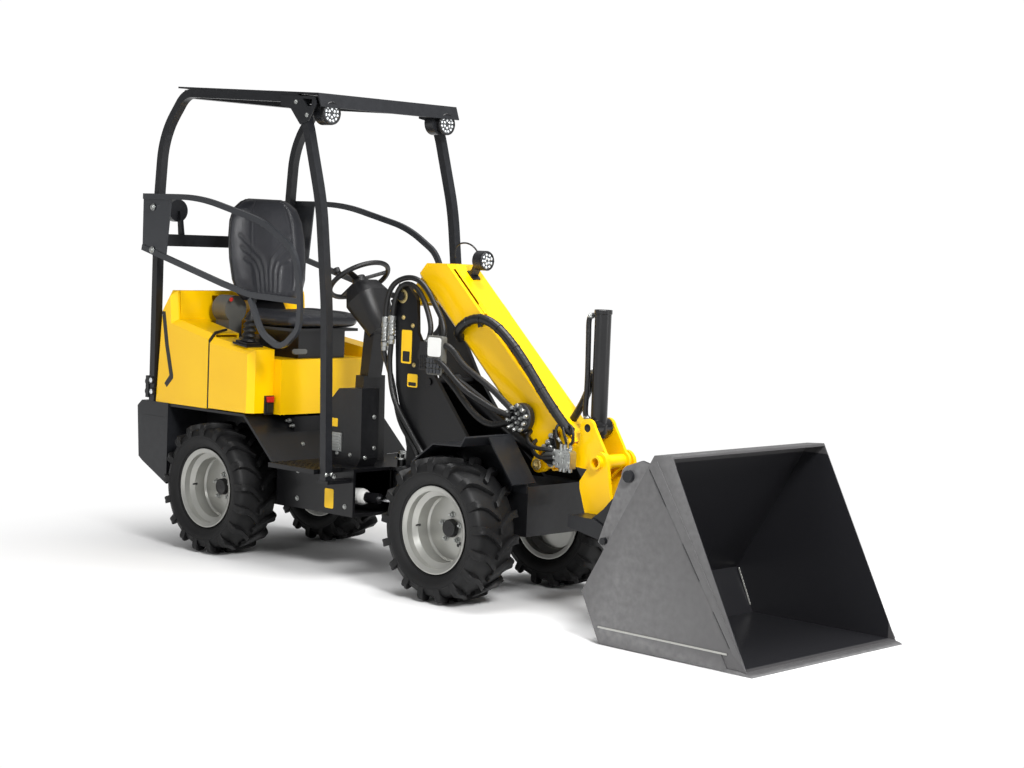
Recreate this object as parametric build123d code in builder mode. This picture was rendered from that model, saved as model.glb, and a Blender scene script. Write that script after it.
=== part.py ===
from build123d import *
from math import cos, hypot, radians, sin
import os

# Compact articulated wheel loader with a telescopic boom and a light-goods bucket.
# Millimetres. +X points forwards, +Y to the machine's left, +Z up, the ground is Z = 0.
# Every X value below is measured from the middle of the wheelbase.

# Overall layout
FRONT_X = 2567.0            # cutting edge of the bucket
REAR_X = -1394.0            # back of the counterweight
MID_X = -(FRONT_X + REAR_X) / 2
AXLE_X = 798.0
STEER_X = 105.0             # vertical pin between the two halves
BODY_HALF = 440.0           # outside of the yellow panels
PANEL_T = 38.0              # fixed side panel beside the lid

# Wheels
TYRE_R = 322.0
TYRE_IN = 240.0             # inner and outer sidewall, from the machine's centre plane
TYRE_OUT = 490.0
SHOULDER_R = 264.0
RIM_OUT = 466.0             # outer and inner flange
RIM_IN = 262.0
FLANGE_R = 193.0
BEAD_R = 176.0
WELL_R = 152.0
RIM_WALL = 5.0
DISC_Y = 348.0              # outer face of the wheel disc
DISC_T = 9.0
SPINDLE_R = 30.0
FIT = 0.05                  # radial play of a pin in its bore
SEAT_GAP = 0.3              # play between a fixed piece and what carries it
HUB_CAP_R = 39.0
HUB_CAP_H = 14.0
HUB_FLANGE_R = 70.0
AXLE_TUBE_R = 45.0

# Rear frame
RAIL_HALF = 200.0
RAIL_BOTTOM = 250.0
DECK_TOP = 705.0
DECK_T = 12.0
DECK_FRONT_X = -550.0
BELLY_HALF = 300.0
BELLY_REAR_X = -455.0
BELLY_FRONT_X = 94.0
BELLY_BOTTOM = 275.0
BELLY_TOP = 500.0
PLATE = 15.0
EAR_R = 62.0
NECK_GAP = 6.0
PIN_R = 25.0
PIN_TOP = 560.0
STEP_OUT = BODY_HALF + 28.0
STEP_REAR_X = -335.0
STEP_FRONT_X = 22.0
STEP_T = 22.0
BUMPER_TOP = 708.0
BUMPER_FRONT_X = -1140.0
BUMPER_LOW = 300.0
BUMPER_HALF = BODY_HALF + 5.0
POST_FOOT_Z = 452.0         # foot of the front posts on their outriggers
STEER_FOOT = (-195.0, -210.0)
STEER_EYE = (258.0, -120.0)
STEER_Z = 355.0             # height of the steering cylinder
STEER_POST_R = 14.0

# Bodywork
HOOD_REAR_X = -1248.0
HOOD_FRONT_X = -838.0
SIDE_BOX_TOP = 1060.0
SHELF_FRONT = SIDE_BOX_TOP + 16.0
SHELF_TOP = SHELF_FRONT + 56.0
HOOD_TOP = SHELF_TOP + 142.0
HOOD_LOW = 720.0
LID_HALF = BODY_HALF - PANEL_T - 4.0            # the lid opens between the rear posts
LID_HINGE_X = -1264.0
LID_HINGE_Z = 738.0
NOTCH_HALF = LID_HALF - 148.0          # recess behind the seat
SKIN = 8.0
BAND = 14.0                 # rubber band between hood and side box
SIDE_BOX_FRONT_X = -505.0
SIDE_BOX_FRONT_TOP = SIDE_BOX_TOP - 42.0
BOX_BEVEL = 28.0
SEAT_BOX_FRONT_X = -450.0
SEAT_BOX_HALF = BODY_HALF - 144.0
SEAT_BOX_TOP = SIDE_BOX_TOP - 88.0

# Roll-over frame
POST_Y = BODY_HALF - 13.0
POST = 40.0
BAR_Y = POST_Y + 39.0
BAR_T = 18.0
BAR_H = 28.0
BAR_PIVOT_X = -1277.0
BAR_PIVOT_Z = 1686.0
BAR_PLATE_T = 8.0
BAR_PIN_R = 12.0
ROOF_LAMP_X = -82.0
ROOF_LAMP_Y = POST_Y - 71.0
ROOF_LAMP_Z = 2144.0
ROOF_LAMP_R = 57.0

# Front frame
TOWER_IN = 130.0
TOWER_OUT = 150.0
CHASSIS_HALF = 200.0
CHASSIS_REAR_X = 285.0
CHASSIS_FRONT_X = 1105.0
CHASSIS_BOTTOM = 250.0
CHASSIS_TOP = 530.0
NECK_HALF = 38.0
NECK_R = 42.0

# Boom, in its own axes: along the boom from the pivot pin, and up from it
BOOM_PIVOT_X = 225.0
BOOM_PIVOT_Z = 1312.0
BOOM_ANGLE = 43.0           # slope of the lowered boom
BOOM_BOTTOM = 90.0
BOOM_TOP = 288.0
BOOM_HALF = 90.0
BOOM_WALL = 8.0
BOOM_BEVEL = 22.0
BOOM_REAR = -41.0
BOOM_END = 1150.0
BOOM_CUT_Z = 1470.0         # level cut of the boom's upper rear corner
BOOM_PIN_R = 20.0
LUG_HALF = 60.0
INNER_HALF = 74.0
INNER_BOTTOM = 108.0
INNER_TOP = 270.0
INNER_WALL = 16.0
INNER_REAR = 320.0
LIFT_EYE_S = 1080.0         # lift rod's eye on the boom
LIFT_EYE_N = 55.0
LIFT_FOOT_X = 420.0         # foot of the lift barrel on the tower
LIFT_FOOT_Z = 930.0

# Tilt gear
TILT_PIN_X = 1320.0         # trunnion of the tilt cylinder
TILT_PIN_Z = 800.0
CARRIER_X = 1410.0          # hinge of the tool carrier
CARRIER_Z = 662.0
TILT_EYE_X = 1320.0         # rod eye of the tilt cylinder
TILT_EYE_Z = 556.0
TILT_PIN_R = 14.0
LEVER_IN = 27.0            # levers on the hinge tube that the rod's eye works between
LEVER_T = 16.0
LEVER_R = 24.0
CHEEK_IN = 80.0
CHEEK_OUT = 98.0
CHEEK_LOW = 440.0
CHEEK_REAR_X = 1311.0
CARRIER_BORE_R = 20.0
CARRIER_TUBE_R = 30.0
BOSS_R = 42.0
HOOK_X = 1720.0             # upper tube that the tool's hooks hang on
HOOK_Z = 648.0
HOOK_R = 25.0
LOCK_X = 1600.0             # lower lock pins
LOCK_Z = 365.0
LOCK_R = 15.0
FRAME_HALF = 275.0
HOOK_Y = 250.0
HOOK_T = 15.0

# Bucket
BUCKET_HALF = 517.5
SHEET = 6.0
LIP_X = 2136.0
LIP_Z = 788.0
LIP_REAR_X = 2051.0
HEEL_X = 1706.0
HEEL_Z = 200.0
FLOOR_REAR_X = 1808.0
EDGE_T = 16.0
STRIP_T = 4.0               # wear strips outside the side walls

os.makedirs("parts", exist_ok=True)


def side(y):
    """Side plane at y: first axis forwards, second axis up, normal to the right."""
    return Plane(origin=(MID_X, y, 0), x_dir=(1, 0, 0), z_dir=(0, -1, 0))


def level(z):
    """Level plane at z: first axis forwards, second axis to the left."""
    return Plane.XY.offset(z).shift_origin((MID_X, 0, z))


def across(x):
    """Cross plane at x: first axis to the left, second axis up, normal forwards."""
    return Plane(origin=(MID_X + x, 0, 0), x_dir=(0, 1, 0), z_dir=(1, 0, 0))


def along(x0, z0, x1, z1, y=0.0):
    """Side plane whose first axis runs from one point to the other."""
    run = hypot(x1 - x0, z1 - z0)
    return Plane(origin=(MID_X + x0, y, z0), x_dir=((x1 - x0) / run, 0, (z1 - z0) / run), z_dir=(0, -1, 0))


def y_axis(x, z):
    return Axis((MID_X + x, 0, z), (0, 1, 0))


def write(builder, name):
    builder.part.label = name
    export_step(builder.part, "parts/" + name + ".step")


def boom_point(s, n):
    """Place of a point given in the boom's own axes."""
    a = radians(BOOM_ANGLE)
    return (BOOM_PIVOT_X + s * cos(a) + n * sin(a), BOOM_PIVOT_Z - s * sin(a) + n * cos(a))


def boom_side(y):
    a = radians(BOOM_ANGLE)
    return Plane(origin=(MID_X + BOOM_PIVOT_X, y, BOOM_PIVOT_Z), x_dir=(cos(a), 0, -sin(a)), z_dir=(0, -1, 0))


LIFT_EYE_X, LIFT_EYE_Z = boom_point(LIFT_EYE_S, LIFT_EYE_N)

# Wheels: rim and tyre are revolved about the axle
WHEELS = [  # name, place along the machine, side
    ("front_right", AXLE_X, -1),
    ("front_left", AXLE_X, 1),
    ("rear_right", -AXLE_X, -1),
    ("rear_left", -AXLE_X, 1),
]
rim_outside = [  # out from the centre plane, radius
    (RIM_OUT, FLANGE_R),
    (RIM_OUT - 5, FLANGE_R),
    (RIM_OUT - 9, BEAD_R + 2),
    (RIM_OUT - 36, BEAD_R),
    (RIM_OUT - 50, WELL_R),
    (RIM_IN + 60, WELL_R),
    (RIM_IN + 46, BEAD_R),
    (RIM_IN + 9, BEAD_R + 2),
    (RIM_IN + 5, FLANGE_R),
    (RIM_IN, FLANGE_R),
]
rim_inside = [
    (RIM_IN, FLANGE_R - RIM_WALL),
    (RIM_IN + 4, BEAD_R - RIM_WALL),
    (RIM_IN + 44, BEAD_R - RIM_WALL),
    (RIM_IN + 58, WELL_R - RIM_WALL),
    (DISC_Y - DISC_T, WELL_R - RIM_WALL),
    (DISC_Y - DISC_T, SPINDLE_R + FIT),
    (DISC_Y, SPINDLE_R + FIT),
    (DISC_Y, 0),
    (DISC_Y + HUB_CAP_H, 0),
    (DISC_Y + HUB_CAP_H, HUB_CAP_R),
    (DISC_Y, HUB_CAP_R),
    (DISC_Y, WELL_R - RIM_WALL - 8),
    (DISC_Y + 8, WELL_R - RIM_WALL),
    (RIM_OUT - 52, WELL_R - RIM_WALL),
    (RIM_OUT - 38, BEAD_R - RIM_WALL),
    (RIM_OUT - 8, BEAD_R - RIM_WALL),
    (RIM_OUT, FLANGE_R - RIM_WALL),
]
TYRE_MID = (TYRE_IN + TYRE_OUT) / 2
TYRE_HALF = (TYRE_OUT - TYRE_IN) / 2
BARS = 17                   # bars of the tread on each side of the tyre's middle
PITCH = 360 / BARS
PHASE = 0.26                # turns the middle of one bar's end to the ground, in pitches
CROWN_R = TYRE_R / cos(radians(0.12 * PITCH))
# The tyre has flat faces, 17 pitches on each side, the two sides half a pitch apart.
carcass = [  # out from the tyre's middle, radius, the corners as shares of one pitch
    (RIM_OUT - 12 - TYRE_MID, BEAD_R + 2.8, (0.0, 0.5)),
    (RIM_OUT - 10 - TYRE_MID, FLANGE_R + 4.5, (0.0, 0.5)),
    (TYRE_HALF - 2, SHOULDER_R - 16, (0.0, 0.34, 0.67)),
    (TYRE_HALF - 17, TYRE_R - 34, (0.0, 0.34, 0.67)),
]
bar_rows = [  # foot out, foot radius, top out, top radius, foot start, foot end, top start, top end
    (TYRE_HALF - 2, SHOULDER_R - 16, TYRE_HALF - 0.1, SHOULDER_R - 12, 0.00, 0.34, 0.03, 0.31),
    (TYRE_HALF - 17, TYRE_R - 34, TYRE_HALF - 2.5, TYRE_R - 17, 0.00, 0.34, 0.03, 0.31),
    (TYRE_HALF - 61, TYRE_R - 25, TYRE_HALF - 55, TYRE_R - 3, 0.13, 0.43, 0.17, 0.39),
    (0, TYRE_R - 19, 0, CROWN_R, 0.60, 0.92, 0.64, 0.88),
]


def spot(y, r, share):
    """Corner of the tyre about its own middle. The share is the angle in pitches."""
    turn = radians((share - PHASE) * PITCH)
    return (r * sin(turn), y, r * cos(turn))


def strip(one, other):
    """Triangles between two chains of corners, always across the shorter diagonal."""
    i = k = 0
    out = []
    while i < len(one) - 1 or k < len(other) - 1:
        ahead_one = Vector(one[i + 1]) - Vector(other[k]) if i < len(one) - 1 else None
        ahead_other = Vector(one[i]) - Vector(other[k + 1]) if k < len(other) - 1 else None
        if ahead_other is None or (ahead_one is not None and ahead_one.length < ahead_other.length):
            out.append((one[i], one[i + 1], other[k]))
            i += 1
        else:
            out.append((one[i], other[k + 1], other[k]))
            k += 1
    return out


def pitch_faces(hand, start):
    """One pitch on one side of the tyre: sidewall, the ground between two bars, and the bar."""
    rings = [[spot(hand * y, r, start + share) for share in shares + (1.0,)] for y, r, shares in carcass]
    out = strip(rings[0], rings[1]) + strip(rings[1], rings[2]) + strip(rings[2][1:], rings[3][1:])
    mid, end = bar_rows[2], bar_rows[3]
    far = [spot(hand * mid[0], mid[1], start + mid[5])]
    far += [spot(0, end[1], start + share) for share in (end[5], end[4] + 0.5, end[5] + 0.5, end[4] + 1)]
    far += [spot(hand * mid[0], mid[1], start + 1 + mid[4])]
    out += strip(rings[3][1:], far)
    rows = []
    for foot_y, foot_r, top_y, top_r, foot_a, foot_b, top_a, top_b in bar_rows:
        rows.append([spot(hand * foot_y, foot_r, start + foot_a), spot(hand * top_y, top_r, start + top_a),
                     spot(hand * top_y, top_r, start + top_b), spot(hand * foot_y, foot_r, start + foot_b)])
    for low, high in zip(rows, rows[1:]):
        for q in range(3):
            out += strip(low[q:q + 2], high[q:q + 2])
    for row in (rows[0], rows[-1]):
        out += [(row[0], row[1], row[2]), (row[0], row[2], row[3])]
    return out


tyre_faces = []
for k in range(BARS):
    tyre_faces += pitch_faces(-1, k) + pitch_faces(1, k + 0.5)
    right = [spot(-carcass[0][0], carcass[0][1], k + share) for share in (0.0, 0.5, 1.0)]
    left = [spot(carcass[0][0], carcass[0][1], k + share) for share in (0.0, 0.5, 1.0)]
    tyre_faces += strip(right, left)
one_tyre = Solid(Shell([Face(Wire.make_polygon(corners, close=True)) for corners in tyre_faces]))
for name, x, s in WHEELS:
    with BuildPart() as rim:
        with BuildSketch(across(x)):
            with BuildLine():
                Polyline([(s * y, TYRE_R + r) for y, r in rim_outside + rim_inside], close=True)
            make_face()
        revolve(axis=y_axis(x, TYRE_R))
    write(rim, "rim_" + name)
    tyre = one_tyre.moved(Location((MID_X + x, s * TYRE_MID, TYRE_R)))
    tyre.label = "tyre_" + name
    export_step(tyre, "parts/tyre_" + name + ".step")

# Axles: a beam with a brake drum and a hub flange at each end, and the spindle in the disc
for name, x in (("front", AXLE_X), ("rear", -AXLE_X)):
    with BuildPart() as axle:
        with BuildSketch(side(0)):
            with Locations((x, TYRE_R)):
                Circle(AXLE_TUBE_R)
        extrude(amount=DISC_Y - DISC_T - 40, both=True)
        with BuildSketch(side(0)):
            with Locations((x, TYRE_R)):
                Circle(HUB_FLANGE_R)
        extrude(amount=DISC_Y - DISC_T - SEAT_GAP, both=True)
        with BuildSketch(side(0)):
            with Locations((x, TYRE_R)):
                Circle(HUB_FLANGE_R)
        extrude(amount=CHASSIS_HALF + 20, both=True, mode=Mode.SUBTRACT)
        with BuildSketch(side(0)):
            with Locations((x, TYRE_R)):
                Circle(AXLE_TUBE_R)
        extrude(amount=CHASSIS_HALF + 30, both=True)
        with BuildSketch(side(0)):
            with Locations((x, TYRE_R)):
                Circle(SPINDLE_R)
        extrude(amount=DISC_Y - SEAT_GAP, both=True)
    write(axle, "axle_" + name)

# Rear frame: rails, deck over the wheels, hollow belly open to the front, pivot ears
BORE_R = AXLE_TUBE_R + SEAT_GAP
with BuildPart() as chassis:
    with BuildSketch(side(0)):
        Polygon((BUMPER_FRONT_X + 1, DECK_TOP - DECK_T), (BUMPER_FRONT_X + 1, RAIL_BOTTOM + 110),
                (BUMPER_FRONT_X + 90, RAIL_BOTTOM), (BELLY_REAR_X, RAIL_BOTTOM),
                (BELLY_REAR_X, DECK_TOP - DECK_T), align=None)
        with Locations((-AXLE_X, TYRE_R)):
            Circle(BORE_R, mode=Mode.SUBTRACT)
    extrude(amount=RAIL_HALF, both=True)
    with BuildSketch(side(0)):
        Polygon((BUMPER_FRONT_X + 60, DECK_TOP), (BUMPER_FRONT_X + 60, 470), (-AXLE_X - 60, 470),
                (-AXLE_X - 60, 420), (BELLY_REAR_X - PLATE, 420), (BELLY_REAR_X - PLATE, DECK_TOP), align=None)
    extrude(amount=RAIL_HALF - PLATE, both=True, mode=Mode.SUBTRACT)
    with BuildSketch(side(0)):
        Polygon((BUMPER_FRONT_X + 1, DECK_TOP), (BUMPER_FRONT_X + 1, DECK_TOP - DECK_T),
                (DECK_FRONT_X - 6, DECK_TOP - DECK_T), (STEP_REAR_X - 6, BELLY_TOP),
                (STEP_REAR_X + 12, BELLY_TOP), (DECK_FRONT_X, DECK_TOP), align=None)
    extrude(amount=BODY_HALF - 4, both=True)
    with BuildSketch(level(DECK_TOP - DECK_T - 8)):
        with Locations(((BUMPER_FRONT_X + 60 + BELLY_REAR_X - PLATE) / 2, 0)):
            Rectangle(BELLY_REAR_X - PLATE - BUMPER_FRONT_X - 60, 2 * (RAIL_HALF - PLATE))
    extrude(amount=30, mode=Mode.SUBTRACT)
    with BuildSketch(side(0)):
        Polygon((BELLY_REAR_X, BELLY_BOTTOM), (BELLY_FRONT_X, BELLY_BOTTOM),
                (BELLY_FRONT_X, BELLY_TOP), (BELLY_REAR_X, BELLY_TOP), align=None)
    extrude(amount=BELLY_HALF, both=True)
    with BuildSketch(side(0)):
        Polygon((BELLY_REAR_X + PLATE, BELLY_BOTTOM + PLATE), (BELLY_FRONT_X + 1, BELLY_BOTTOM + PLATE),
                (BELLY_FRONT_X + 1, BELLY_TOP - PLATE), (BELLY_REAR_X + PLATE, BELLY_TOP - PLATE), align=None)
    extrude(amount=BELLY_HALF - PLATE, both=True, mode=Mode.SUBTRACT)
    for z in (BELLY_TOP - PLATE, BELLY_BOTTOM):
        with BuildSketch(level(z)):
            with Locations((STEER_X, 0)):
                Circle(EAR_R)
            with Locations((STEER_X / 2, 0)):
                Rectangle(STEER_X, 2 * EAR_R)
        extrude(amount=PLATE)
    with BuildSketch(level(BELLY_BOTTOM + 4)):
        with Locations((STEER_X, 0)):
            Circle(PIN_R)
    extrude(amount=PIN_TOP - BELLY_BOTTOM - 4)
    with BuildSketch(level(BELLY_BOTTOM)):
        with Locations(STEER_FOOT, (STEER_FOOT[0], -STEER_FOOT[1])):
            Circle(STEER_POST_R)
    extrude(amount=BELLY_TOP - BELLY_BOTTOM)
    with BuildSketch(level(POST_FOOT_Z - 1 - PLATE)):
        with Locations((45, 0)):
            Rectangle(70, 2 * (POST_Y + POST / 2))
            Rectangle(72, 2 * (BELLY_HALF - 1), mode=Mode.SUBTRACT)
    extrude(amount=PLATE)
    with BuildSketch(level(BELLY_TOP - STEP_T)):
        for s in (-1, 1):
            with Locations(((STEP_REAR_X + STEP_FRONT_X) / 2, s * (BELLY_HALF + STEP_OUT) / 2)):
                Rectangle(STEP_FRONT_X - STEP_REAR_X - 30, STEP_OUT - BELLY_HALF + 2)
    extrude(amount=STEP_T)
    with BuildSketch(level(BELLY_TOP - STEP_T - 1)):
        for row in range(4):
            for s in (-1, 1):
                for k in range(9):
                    with Locations((STEP_REAR_X + 45 + 34 * k, s * (BELLY_HALF + 30 + 36 * row))):
                        RegularPolygon(11, 4, rotation=45 * (row % 2))
    extrude(amount=STEP_T + 2, mode=Mode.SUBTRACT)
write(chassis, "rear_chassis")

# Engine under the hood and the seat box, one plain block
with BuildPart() as engine:
    with BuildSketch(level(470 + SEAT_GAP)):
        with Locations((-845, 0)):
            Rectangle(450, 350)
    extrude(amount=460)
write(engine, "engine_block")

# Counterweight with the fixed halves of the lid's hinges
with BuildPart() as bumper:
    with BuildSketch(side(0)):
        Polygon((REAR_X, BUMPER_TOP - 30), (REAR_X + 36, BUMPER_TOP), (BUMPER_FRONT_X, BUMPER_TOP),
                (BUMPER_FRONT_X, BUMPER_LOW + 2), (-1343, 399), (REAR_X + 18, 420), align=None)
    extrude(amount=BUMPER_HALF, both=True)
    for s in (-1, 1):
        for y, thick in ((286, 10), (324, 10)):
            with BuildSketch(side(s * y)):
                Polygon((LID_HINGE_X - 16, BUMPER_TOP - 2), (LID_HINGE_X - 11, LID_HINGE_Z),
                        (LID_HINGE_X + 11, LID_HINGE_Z), (LID_HINGE_X + 16, BUMPER_TOP - 2), align=None)
                with Locations((LID_HINGE_X, LID_HINGE_Z)):
                    Circle(11)
            extrude(amount=-s * thick)
        with BuildSketch(side(s * 286)):
            with Locations((LID_HINGE_X, LID_HINGE_Z)):
                Circle(6)
        extrude(amount=-s * 54)
write(bumper, "counterweight")

# Hood: a hollow lid between the posts, hinged at its rear lower edge, and fixed side panels
hood_outline = [
    (HOOD_REAR_X, HOOD_LOW), (-1206, HOOD_TOP - 52), (-1168, HOOD_TOP), (-1126, HOOD_TOP),
    (-1112, SHELF_TOP), (HOOD_FRONT_X, SHELF_FRONT), (HOOD_FRONT_X, HOOD_LOW),
]
hood_inside = [
    (HOOD_REAR_X + SKIN, HOOD_LOW - 1), (-1206 + SKIN, HOOD_TOP - 54), (-1164, HOOD_TOP - SKIN),
    (-1134, HOOD_TOP - SKIN), (-1120, SHELF_TOP - SKIN), (HOOD_FRONT_X + 1, SHELF_FRONT - SKIN),
    (HOOD_FRONT_X + 1, HOOD_LOW - 1),
]
with BuildPart() as hood:
    with BuildSketch(side(0)):
        Polygon(*hood_outline, align=None)
    extrude(amount=LID_HALF, both=True)
    with BuildSketch(side(0)):
        Polygon(*hood_inside, align=None)
    extrude(amount=LID_HALF - SKIN, both=True, mode=Mode.SUBTRACT)
    with BuildSketch(side(0)):
        Polygon((-1225, HOOD_LOW - 1), (-1202, 1000), (HOOD_FRONT_X + 1, 1000), (HOOD_FRONT_X + 1, HOOD_LOW - 1),
                align=None)
    extrude(amount=LID_HALF + 1, both=True, mode=Mode.SUBTRACT)
    for s in (-1, 1):
        with BuildSketch(side(s * NOTCH_HALF)):
            Polygon((-1112, SHELF_TOP - 2), (HOOD_FRONT_X, SHELF_FRONT - 2), (HOOD_FRONT_X, 1000), (-1112, 1000),
                    align=None)
        extrude(amount=-s * SKIN)
    with BuildSketch(side(0)):
        Polygon((-1111, 999), (-1111, 1200), (HOOD_FRONT_X + 1, 1200), (HOOD_FRONT_X + 1, 999), align=None)
    extrude(amount=NOTCH_HALF, both=True, mode=Mode.SUBTRACT)
    with BuildSketch(side(0)):
        Polygon((-1140, 1160), (-1140, 1250), (-1100, 1250), (-1100, 1160), align=None)
    extrude(amount=200, both=True, mode=Mode.SUBTRACT)
    for s in (-1, 1):
        with BuildSketch(side(s * 299)):
            Polygon((LID_HINGE_X, LID_HINGE_Z - 11), (HOOD_REAR_X + 2, LID_HINGE_Z - 11),
                    (HOOD_REAR_X + 4, LID_HINGE_Z + 11), (LID_HINGE_X, LID_HINGE_Z + 11), align=None)
            with Locations((LID_HINGE_X, LID_HINGE_Z)):
                Circle(11)
            with Locations((LID_HINGE_X, LID_HINGE_Z)):
                Circle(6 + FIT, mode=Mode.SUBTRACT)
        extrude(amount=-s * 22)
    with BuildSketch(across(HOOD_REAR_X - 12)):
        for k in range(7):
            for s in (-1, 1):
                with Locations((s * 98, 815 + 34 * k)):
                    Rectangle(176, 15)
    extrude(amount=60, mode=Mode.SUBTRACT)
write(hood, "hood")
for name, s in (("right", -1), ("left", 1)):
    with BuildPart() as panel:
        with BuildSketch(side(s * (LID_HALF + 4))):
            Polygon(*[(x, z if z > HOOD_LOW else BUMPER_TOP + SEAT_GAP) for x, z in hood_outline], align=None)
        extrude(amount=-s * (BODY_HALF - LID_HALF - 4))
        chamfer(panel.edges().filter_by(lambda e: abs(e.center().Y) > BODY_HALF - 1 and e.center().Z > SHELF_FRONT - 26
                and e.length > BOX_BEVEL + 2), BOX_BEVEL)
    write(panel, "hood_side_" + name)

# Side boxes in front of the hood, and the hollow box under the seat
for name, s in (("right", -1), ("left", 1)):
    with BuildPart() as box:
        with BuildSketch(side(s * (SEAT_BOX_HALF + SEAT_GAP))):
            Polygon((HOOD_FRONT_X + BAND, HOOD_LOW - 8), (HOOD_FRONT_X + BAND, SIDE_BOX_TOP),
                    (SIDE_BOX_FRONT_X, SIDE_BOX_FRONT_TOP), (SIDE_BOX_FRONT_X, HOOD_LOW - 8), align=None)
        extrude(amount=-s * (BODY_HALF - SEAT_BOX_HALF - SEAT_GAP))
        middle = (HOOD_LOW + SIDE_BOX_FRONT_TOP) / 2
        chamfer(box.edges().filter_by(lambda e: abs(e.center().Y) > BODY_HALF - 1 and e.center().Z > middle - 5
                and (e.center().Z > SIDE_BOX_FRONT_TOP or e.center().X > MID_X + SIDE_BOX_FRONT_X - 1)), BOX_BEVEL)
    write(box, "side_box_" + name)
with BuildPart() as seat_box:
    with BuildSketch(side(0)):
        Polygon((HOOD_FRONT_X + BAND, DECK_TOP + SEAT_GAP), (HOOD_FRONT_X + BAND, SEAT_BOX_TOP),
                (SEAT_BOX_FRONT_X, SEAT_BOX_TOP), (SEAT_BOX_FRONT_X, DECK_TOP + SEAT_GAP), align=None)
    extrude(amount=SEAT_BOX_HALF, both=True)
    with BuildSketch(side(0)):
        Polygon((HOOD_FRONT_X, DECK_TOP), (HOOD_FRONT_X, SEAT_BOX_TOP - PLATE),
                (SEAT_BOX_FRONT_X - PLATE, SEAT_BOX_TOP - PLATE), (SEAT_BOX_FRONT_X - PLATE, DECK_TOP), align=None)
    extrude(amount=SEAT_BOX_HALF - PLATE, both=True, mode=Mode.SUBTRACT)
write(seat_box, "seat_box")

# Air filter on its tray in the recess behind the seat
DRUM_R = 68.0
with BuildPart() as drum:
    with BuildSketch(side(0)):
        Polygon((-1098, 1044), (-1098, 1052), (-812, 1052), (-812, SEAT_BOX_TOP + SEAT_GAP),
                (-822, SEAT_BOX_TOP + SEAT_GAP), (-822, 1044), align=None)
    extrude(amount=NOTCH_HALF - 6, both=True)
    with BuildSketch(across(-1070)):
        with Locations((-172, 1190)):
            Circle(DRUM_R)
        with Locations((-172, 1100)):
            Rectangle(80, 110)
    extrude(amount=105)
write(drum, "air_filter")

# Seat on its suspension box
SEAT_Z = SEAT_BOX_TOP + 148.0
with BuildPart() as seat_base:
    with BuildSketch(level(SEAT_BOX_TOP + SEAT_GAP)):
        with Locations((-650, 0)):
            Rectangle(300, 300)
    extrude(amount=SEAT_Z - SEAT_BOX_TOP - SEAT_GAP)
    with BuildSketch(level(SEAT_Z - 14)):
        with Locations((-663, 0)):
            Rectangle(386, 420)
    extrude(amount=14)
    with BuildSketch(side(0)):
        Polygon((-850, SEAT_Z), (-850, SEAT_Z - 14), (-866, SEAT_Z - 4), (-967, 1262), (-1012, 1690),
                (-1000.4, 1690), (-955.8, 1256), (-905, 1185), (-868, SEAT_Z), align=None)
    extrude(amount=110, both=True)
write(seat_base, "seat_base")
with BuildPart() as cushion:
    with BuildSketch(level(SEAT_Z + SEAT_GAP)):
        with Locations((-657, 0)):
            RectangleRounded(415, 480, 60)
    extrude(amount=95)
write(cushion, "seat_cushion")
with BuildPart() as backrest:
    with BuildSketch(side(0)):
        Polygon((-905, 1232), (-862, 1240), (-858, 1300), (-905, 1690), (-940, 1745), (-985, 1740), (-1000, 1690),
                (-955, 1260), align=None)
    extrude(amount=235, both=True)
write(backrest, "seat_backrest")

# Control lever with bellows on the right box, square to the box's sloping top
box_run = SIDE_BOX_FRONT_X - HOOD_FRONT_X - BAND
box_drop = SIDE_BOX_TOP - SIDE_BOX_FRONT_TOP
box_len = hypot(box_run, box_drop)
LEVER_X = -612.0
LEVER_Y = 65.0 - BODY_HALF
lever_z = SIDE_BOX_TOP - box_drop * (LEVER_X - HOOD_FRONT_X - BAND) / box_run + SEAT_GAP
lever_plane = Plane(origin=(MID_X + LEVER_X, LEVER_Y, lever_z), x_dir=(box_run / box_len, 0, -box_drop / box_len),
                    z_dir=(box_drop / box_len, 0, box_run / box_len))
with BuildPart() as lever:
    with BuildSketch(lever_plane):
        Rectangle(108, 104)
    extrude(amount=9)
    with BuildSketch(lever_plane):
        Rectangle(88, 84)
    extrude(amount=20)
    with BuildSketch(Plane(origin=lever_plane.origin, x_dir=lever_plane.x_dir, z_dir=-lever_plane.y_dir)):
        with BuildLine():
            folds = [(0, 10)]
            for k in range(5):
                folds += [(38 - 2 * k, 24 + 26 * k), (27 - 2 * k, 37 + 26 * k)]
            Polyline(folds + [(10, 160), (9, 205), (17, 215), (17, 250), (0, 256)], close=True)
        make_face()
    revolve(axis=Axis(lever_plane.origin, lever_plane.z_dir))
write(lever, "joystick")

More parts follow.
